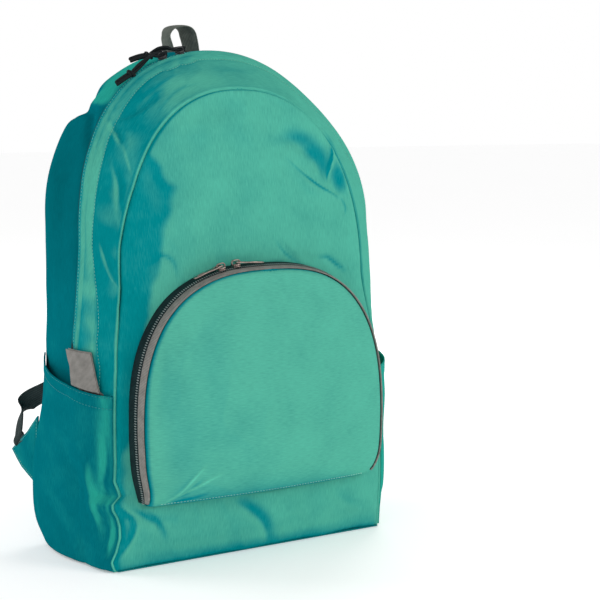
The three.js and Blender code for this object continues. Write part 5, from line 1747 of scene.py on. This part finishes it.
# Places on a side pocket: (0 front edge to 1 back edge, 0 foot to 1 hem)
SIDE_POCKET_FOLDS = {
    "left": [
        Fold([(0.34, 0.62), (0.26, 0.42), (0.20, 0.26)], 0.0040, 0.05, 0.07),
        Fold([(0.08, 0.80), (0.06, 0.62), (0.12, 0.45)], -0.0030, 0.05, 0.04),
        Fold([(0.05, 0.45), (0.03, 0.30), (0.10, 0.11)], 0.0030, 0.03, 0.04),
        Fold([(0.62, 0.70), (0.50, 0.48), (0.52, 0.22)], -0.0030, 0.06, 0.05),
        Fold([(0.90, 0.35), (0.70, 0.22), (0.62, 0.08)], -0.0030, 0.05, 0.06),
        Fold([(0.44, 0.92), (0.58, 0.86), (0.78, 0.90)], -0.0020, 0.05, 0.05),
        Fold([(0.30, 0.16), (0.42, 0.10), (0.60, 0.12)], -0.0020, 0.04, 0.04),
    ],
    "right": [
        Fold([(0.30, 0.70), (0.40, 0.45), (0.36, 0.20)], -0.0032, 0.05, 0.06),
        Fold([(0.75, 0.78), (0.62, 0.50), (0.70, 0.24)], -0.0030, 0.06, 0.05),
        Fold([(0.12, 0.55), (0.16, 0.30), (0.28, 0.12)], 0.0026, 0.04, 0.05),
        Fold([(0.50, 0.90), (0.66, 0.84), (0.84, 0.88)], -0.0020, 0.05, 0.05),
    ],
}
# Patches of painted light on the side pockets
SIDE_POCKET_PATCHES = {
    "left": [
        Patch(0.14, 0.55, 0.13, 0.60, 0.60),
        Patch(0.27, 0.50, 0.05, 0.16, 0.55),
        Patch(0.20, 0.30, 0.05, 0.14, 0.60),
        Patch(0.06, 0.72, 0.05, 0.14, 0.45),
        Patch(0.05, 0.25, 0.04, 0.18, 0.45),
    ],
    "right": [Patch(0.2, 0.4, 0.1, 0.2, 0.2)],
}


def make_side_pocket(word, side):
    place = np.linspace(0.04, 1.97, 110)
    up = np.linspace(0.012, 1, 90)[:, None]
    place, up = np.broadcast_arrays(place, up)
    z = up * hem_at(place)
    off = SIDE_POCKET_LIFT + SIDE_POCKET_BELLY * pocket_swell(place) * (0.25 + 0.75 * up ** 1.4)
    normal = side_normal(side, place, np.maximum(z, 0.002), flat=True)
    grid = side_point(side, place, z) + normal * (off + POCKET_WALL_OUT)[..., None]
    across = lengths_along(grid, 1)
    rim = np.minimum(across, across[:, -1:] - across)
    below = hem_at(place) - z
    u = (place - 0.04) / 1.93
    free = 1 - bell(rim, 0.007)
    slack = free * np.clip(z / 0.02, 0, 1)
    height = (noise(grid, 0.045, 81) * 0.0022 + crumple(grid, 0.04, 82) * 0.0008) * slack
    height += folds_at(u, up, SIDE_POCKET_FOLDS[word]) * slack
    height += 0.0006 * np.exp(-((below / (HEM_DEPTH * 1.02)) ** 10))
    for deep in HEM_STITCH_DEPTHS:
        height += dip(below - deep, 0.0004, 0.0011) * (0.7 + 0.6 * noise(grid, 0.005, 83))
    height = np.maximum(height, -off - POCKET_WALL_OUT * 0.2)
    middle = (0, 0, HEM_FRONT / 2)
    grid = push(grid, height, middle)
    if side < 0:
        grid = wandered(grid)
    painted_light = shade_of(grid, middle, change=patches_at(u, up, SIDE_POCKET_PATCHES[word]))
    piece = wall(word + "_side_pocket_cloth", grid, middle=middle, painted_light=painted_light)
    place_piece(piece, SHADED_SIDE_CLOTH, "bag", "side_cloth", word + "_side_pocket")
    normals, _ = grid_normals(grid, middle)
    raised = (grid + normals * SEAM_RAISE).swapaxes(0, 1)
    rows = [row_at(raised, below.T, np.full(len(raised), deep), 2) for deep in HEM_STITCH_DEPTHS]
    sew(word + "_hem_stitches", rows, SHADED_SIDE_THREAD, "side_cloth", 0.0030)


TAB_THICKNESS = 0.0010
# How far the tab's top edge lies level instead of along the hem
TAB_LEVEL = 0.75


def make_tab():
    """The grey tab: webbing folded over, with its free edge towards the front."""
    gusset = side_point(-1, 0, HEM_FRONT) - side_point(-1, 1, HEM_FRONT)
    half = TAB_WIDTH / 2 / float(np.linalg.norm(gusset))

    def leaf(low, high, reach, lift):
        place, up = np.meshgrid(np.linspace(low, high, 24), np.linspace(-0.25, reach, 40))
        place = TAB_PLACE - 0.06 + half * 0.78 * place + 0.26 * up
        level = np.clip(up, 0, 1) * TAB_LEVEL
        z = hem_at(place) * (1 - level) + hem_at(TAB_PLACE) * level + SEAM_GAP + up * TAB_HEIGHT
        inside = np.clip((0.04 - up) / 0.1, 0, 1)
        fall = 1 - 0.7 * up
        off = SIDE_POCKET_LIFT + SIDE_POCKET_BELLY * pocket_swell(place) * fall * (1 - 0.5 * inside)
        off += lift * (1 - inside) - 0.0012 * inside
        grid = side_point(-1, place, z) + side_normal(-1, place, z) * off[..., None]
        return grid + noise(grid, 0.014, 91)[..., None] * 0.0004 * side_normal(-1, place, z)

    pieces = []
    for k, (low, high, reach, lift) in enumerate([(-1, 0.92, 1.0, 0.0014), (-0.98, 1, 0.97, 0.0027)]):
        grid = leaf(low, high, reach, lift)
        pieces.append(wall(f"tab_leaf_{k}", grid, TAB_THICKNESS, (0, 0, HEM_FRONT)))
    place_piece(joined("hem_tab_tape", pieces), GREY_TAPE, "bag", "grey_tape", "hem_tab")


make_side_pocket("left", -1)
make_side_pocket("right", 1)
make_tab()


# Haul loop, straps, webbing and buckles


def loft(name, rings, cloth, painted_light=None):
    """A closed piece through rings of points, with its cloth coordinates for each ring point."""
    rows, columns = rings.shape[:2]
    spot = np.arange(rows * columns).reshape(rows, columns)
    after = np.roll(spot, -1, axis=1)
    a, b, c, d = spot[:-1], after[:-1], after[1:], spot[1:]
    sides = np.stack([corner.ravel() for corner in (a, b, c, d)], axis=1).tolist()
    faces = [*sides, spot[0, ::-1].tolist(), spot[-1].tolist()]
    mesh = mesh_of(name, rings.reshape(-1, 3), faces, cloth, painted_light)
    work = bmesh.new()
    work.from_mesh(mesh)
    bmesh.ops.recalc_face_normals(work, faces=work.faces)
    work.to_mesh(mesh)
    work.free()
    return link(mesh, name)


def strip_frames(line, across):
    along = unit(np.gradient(line, axis=0))
    across = np.broadcast_to(np.asarray(across, float), line.shape)
    across = unit(across - along * np.sum(across * along, axis=1, keepdims=True))
    return along, across, np.cross(along, across)


def squared(wave, power):
    """A wave from -1 to 1 with its shoulders pushed out, for a section with rounded corners."""
    return np.sign(wave) * np.abs(wave) ** power


def tape_loft(name, line, across, width, thickness, corners=28, curl=0.0):
    """Flat webbing with rounded edges along a line. curl bows it across its width."""
    _, across, out = strip_frames(line, across)
    angle = np.linspace(0, TURN, corners, endpoint=False)
    flat = squared(np.cos(angle), 0.35) * width / 2
    thick = squared(np.sin(angle), 0.5) * thickness / 2
    thick = thick + curl * (1 - (2 * flat / width) ** 2)
    rings = line[:, None] + across[:, None] * flat[None, :, None] + out[:, None] * thick[None, :, None]
    run = lengths_along(line, 0)
    cloth = np.stack(np.broadcast_arrays(flat[None], run[:, None]), axis=2)
    return loft(name, rings, cloth)


def crown_height(off):
    spring = BACK_SEAM.spring * HEIGHT
    rise = BACK_SEAM.crown * HEIGHT - spring
    return spring + rise * math.sqrt(1 - (off / float(line_half(BACK_SEAM, spring))) ** 2)


# The loop's feet stand closer together than its seat, and a little to the left
LOOP_CLOSE = 0.50
LOOP_SHIFT = 0.004


def make_haul_loop():
    foot = BACK_SEAM.crown * HEIGHT
    y = float(line_back(BACK_SEAM, foot)) - LOOP_WIDTH / 2
    half = LOOP_SPAN / 2 * LOOP_CLOSE
    low = crown_height(half * 1.5) - 0.0006
    middle = -CROWN_LEAN - LOOP_SHIFT
    spots = [
        (middle - half, y, low),
        (middle - half * 1.2, y, foot + LOOP_RISE * 0.32),
        (middle - half * 1.32, y, foot + LOOP_RISE * 0.62),
        (middle - half * 1.0, y, foot + LOOP_RISE * 0.88),
        (middle - half * 0.2, y, foot + LOOP_RISE * 0.96),
        (middle + half * 0.42, y, foot + LOOP_RISE * 0.84),
        (middle + half * 0.74, y, foot + LOOP_RISE * 0.5),
        (middle + half, y, low),
    ]
    line = smooth_path(spots, 90)
    twist = np.interp(np.linspace(0, 1, 90), [0, 0.3, 0.5, 0.8, 1], np.radians([2, -8, 6, 20, 14]))
    across = np.stack([-np.sin(twist), np.cos(twist), np.zeros(90)], axis=1)
    piece = tape_loft("haul_loop_webbing", line, across, LOOP_WIDTH, WEBBING_THICKNESS, curl=0.0006)
    place_piece(piece, LOOP_WEBBING, "bag", "webbing", "haul_loop")


make_haul_loop()


def route_point(side, stop):
    z = stop.up * HEIGHT
    return np.array([side * stop.side * WIDTH, float(line_back(BACK_SEAM, z)) + stop.off, z])


ANCHOR_X = float(line_half(BACK_SEAM, 0.16 * HEIGHT)) - ANCHOR_INSET
STRAP_CHANNEL = 0.0085


def anchor_outline():
    return [(float(line_back(BACK_SEAM, up * HEIGHT)) + off, up * HEIGHT) for _, off, up in ANCHOR_OUTLINE]


def make_strap_pad(word, side, route):
    line = smooth_path(route, 140)
    _, across, out = strip_frames(line, (1, 0, 0))
    share = np.linspace(0, 1, len(line))
    width = STRAP_WIDTH * (1 - 0.42 * share ** 3)
    angle = np.linspace(0, TURN, 64, endpoint=False)
    flat = squared(np.cos(angle), 0.55)
    thick = squared(np.sin(angle), 0.4)
    edge = 1 - np.abs(flat)
    from_edge = edge[None, :] * width[:, None] / 2
    pad = 0.28 + 0.72 * (1 - bell(from_edge, 0.009))
    ends = np.minimum(share, 1 - share) * float(lengths_along(line, 0)[-1])
    pad = pad * (0.45 + 0.55 * (1 - bell(ends, 0.012)))[:, None]
    rings = line[:, None] + across[:, None] * (flat[None] * width[:, None] / 2)[..., None]
    pucker = noise(rings, 0.02, 101 + side) * 0.0005 + noise(rings, 0.007, 103) * 0.00025
    channel = dip(from_edge - STRAP_CHANNEL, 0.0007, 0.0012)
    lift = thick[None] * STRAP_THICKNESS / 2 * pad + np.sign(thick)[None] * (pucker + channel)
    rings = rings + out[:, None] * lift[..., None]
    run = lengths_along(line, 0)
    cloth = np.stack(np.broadcast_arrays(flat[None] * width[:, None] / 2, run[:, None]), axis=2)
    # Mostly the cloth's painted shade colour, varied at random
    painted_light = np.broadcast_to(0.25 + 0.1 * noise(rings, 0.03, 104), rings.shape[:2])
    strap = loft(word + "_strap_pad", rings, cloth, painted_light)
    place_piece(strap, SHADED_SIDE_CLOTH, "bag", "side_cloth", word + "_shoulder_strap")
    rows = []
    edges = []
    for turned in (-1, 1):
        edges.append(line + across * (turned * (width[:, None] / 2 - 0.0004)))
        for face in (-1, 1):
            inset = width[:, None] / 2 - STRAP_CHANNEL
            rows.append((line + across * turned * inset + out * face * (STRAP_THICKNESS / 2 * 0.82))[4:-4])
    bound = joined(word + "_strap_edges", [
        tape_loft(f"edge_{k}", edges[k], out, 0.0046, 0.0022, 12) for k in (0, 1)])
    place_piece(bound, BLACK_TAPE, "bag", "black_zip")
    sew(word + "_strap_stitches", rows, DARK_THREAD, "side_cloth", 0.0030, (0.0023, 0.0007, 0.0008))


def make_buckle(word, route):
    """The ladder buckle past a strap's lower end. Gives back its seat."""
    down = unit(route[-1] - route[-2])
    at = route[-1] + down * (BUCKLE_LENGTH / 2 + SEAM_GAP)
    turned = unit(np.array([1.0, 0, 0]) - down * down[0])
    seat = Seat(at, turned, -down, unit(np.cross(turned, -down)))
    half, tall = BUCKLE_WIDTH / 2, BUCKLE_LENGTH / 2
    slot = (tall * 2 - 3 * BUCKLE_BAR) / 2
    loops = [rounded_loop(0, 0, half, tall, BUCKLE_BAR * 0.8)]
    for low in (-tall + BUCKLE_BAR, tall - BUCKLE_BAR - slot):
        loops.append(rounded_loop(0, low + slot / 2, half - BUCKLE_BAR, slot / 2, 0.0008, hole=True))
    frame_piece = plate(word + "_buckle_frame", loops, BUCKLE_THICKNESS, 0.0009, seat)
    parts = [frame_piece]
    for height in (tall - 0.0015, -tall + 0.0015):
        bar = [(-half * 0.86, height, 0.0016), (0, height, 0.0022), (half * 0.86, height, 0.0016)]
        parts.append(tube(word + "_bar", on_seat(seat, smooth_path(bar, 12)), 0.0013, 10))
    buckle = joined(word + "_ladder_buckle", parts)
    place_piece(buckle, PLASTIC, "bag", "buckle_plastic", word + "_buckle")
    return seat


def make_webbing(word, side, buckle, anchor):
    """The lower webbing, from the buckle to the wing in the back seam."""
    down = -buckle.side
    turned = buckle.along
    start = buckle.here + down * (BUCKLE_LENGTH / 2 + SEAM_GAP)
    lower = [route_point(side, stop) for stop in WEBBING_ROUTE]
    hem = unit(anchor[3] - anchor[2])
    away = np.array([-hem[1], hem[0]])
    outward = -1 if away[0] < 0 else 1
    entry = (anchor[2] + anchor[3]) / 2 + away * outward * SEAM_GAP
    end = np.array([side * ANCHOR_X, entry[0], entry[1]])
    approach = end + np.array([0, away[0], away[1]]) * outward * WEBBING_WIDTH / 3
    inside = end - np.array([0, away[0], away[1]]) * outward * 0.004
    spots = [start - down * 0.006, start, start + down * WEBBING_WIDTH / 3, *lower, approach, end, inside]
    path = smooth_path(spots, 120)
    keys = np.array([turned * side, turned * side, (0.25 * side, 0.1, -1), -np.array([0, hem[0], hem[1]])])
    wide = [np.interp(np.linspace(0, 1, 120), [0, 0.12, 0.6, 1], keys[:, axis]) for axis in range(3)]
    webbing = tape_loft(word + "_webbing", path, np.stack(wide, axis=1), WEBBING_WIDTH, WEBBING_THICKNESS)
    place_piece(webbing, WEBBING, "bag", "webbing", word + "_lower_webbing")


def make_anchor(word, side, outline):
    """The cloth wing in the back seam, sewn flat round its edge."""
    middle = outline.mean(axis=0)
    closed = np.concatenate([outline, outline[:1]])
    count = 120
    run = lengths_along(closed, 0)
    at = np.linspace(0, run[-1], count)
    rim = np.stack([np.interp(at, run, closed[:, k]) for k in (0, 1)], axis=1)
    depth = np.concatenate([np.linspace(0, 0.2, 7), np.linspace(0.3, 0.97, 8)])
    flat = rim[None] * (1 - depth[:, None, None]) + middle * depth[:, None, None]
    from_rim = np.linalg.norm(flat - rim[None], axis=2)
    swell = 0.45 + 0.55 * (1 - bell(from_rim, 0.004))
    swell = swell * ANCHOR_THICKNESS / 2 + dip(from_rim - 0.0035, 0.0004, 0.001)
    rings = []
    for face, order in ((-1, slice(None, None, -1)), (1, slice(None))):
        spread = np.stack([np.full(flat.shape[:2], side * ANCHOR_X), flat[..., 0], flat[..., 1]], axis=2)
        spread[..., 0] += face * (swell + noise(spread, 0.015, 111 + face) * 0.0004)
        rings.append(spread[order])
    rings = np.concatenate(rings)
    cloth = rings[..., 1:]
    # Nearly all the cloth's painted shade colour
    wing = loft(word + "_strap_wing", rings, cloth, np.full(rings.shape[:2], 0.08))
    place_piece(wing, SHADED_SIDE_CLOTH, "bag", "side_cloth", word + "_strap_anchor")
    rows = [rings[len(depth) - 4], rings[len(depth) + 3]]
    sew(word + "_wing_stitches", rows, THREAD, "side_cloth", size=(0.0022, 0.0006, 0.0006))


def make_strap(word, side):
    route = [route_point(side, stop) for stop in STRAP_ROUTE]
    route[0][1] = float(back_y(route[0][0], route[0][2])) + STRAP_THICKNESS / 2 + SEAM_GAP * 3
    make_strap_pad(word, side, route)
    buckle = make_buckle(word, route)
    anchor = np.array(anchor_outline())
    make_webbing(word, side, buckle, anchor)
    make_anchor(word, side, anchor)


make_strap("left", -1)
make_strap("right", 1)


# Light, floor and the look of the picture


def make_light(name, place, aim, size, power, tint):
    data = bpy.data.lights.new(name, "AREA")
    data.shape = "DISK"
    data.size = size
    data.energy = power
    data.color = tint
    made = bpy.data.objects.new(name, data)
    made.location = place
    made.rotation_euler = (Vector(aim) - Vector(place)).to_track_quat("-Z", "Y").to_euler()
    bpy.context.scene.collection.objects.link(made)


def make_stage():
    mesh = bpy.data.meshes.new("floor")
    reach = 12
    corners = [(-reach, -reach, 0), (reach, -reach, 0), (reach, reach, 0), (-reach, reach, 0)]
    mesh.from_pydata(corners, [], [(0, 1, 2, 3)])
    floor = link(mesh, "floor")
    floor.location.z = -0.0006
    mesh.materials.append(floor_finish())
    make_light("key", (0.9, -1.5, 1.3), BAG_MIDDLE, 1.0, 11, (1.0, 0.985, 0.96))
    make_light("fill", (-1.6, -0.9, 0.8), BAG_MIDDLE, 1.2, 3.5, (0.85, 0.95, 1.0))
    make_light("back_left", (-1.3, 1.4, 1.2), BAG_MIDDLE, 1.2, 14, (0.97, 0.99, 1.0))
    make_light("back_right", (1.4, 1.3, 1.2), BAG_MIDDLE, 1.2, 14, (1.0, 0.99, 0.97))
    world = bpy.data.worlds.new("studio")
    world.use_nodes = True
    nodes, links = world.node_tree.nodes, world.node_tree.links
    around = nodes["Background"]
    around.inputs["Color"].default_value = (1, 1, 1, 1)
    around.inputs["Strength"].default_value = 0.5
    backdrop = nodes.new("ShaderNodeBackground")
    backdrop.inputs["Color"].default_value = (1, 1, 1, 1)
    backdrop.inputs["Strength"].default_value = 1.0
    seen = nodes.new("ShaderNodeLightPath")
    chosen = nodes.new("ShaderNodeMixShader")
    links.new(seen.outputs["Is Camera Ray"], chosen.inputs[0])
    links.new(around.outputs[0], chosen.inputs[1])
    links.new(backdrop.outputs[0], chosen.inputs[2])
    links.new(chosen.outputs[0], nodes["World Output"].inputs["Surface"])
    bpy.context.scene.world = world
    bpy.context.scene.view_settings.view_transform = "Standard"


make_stage()
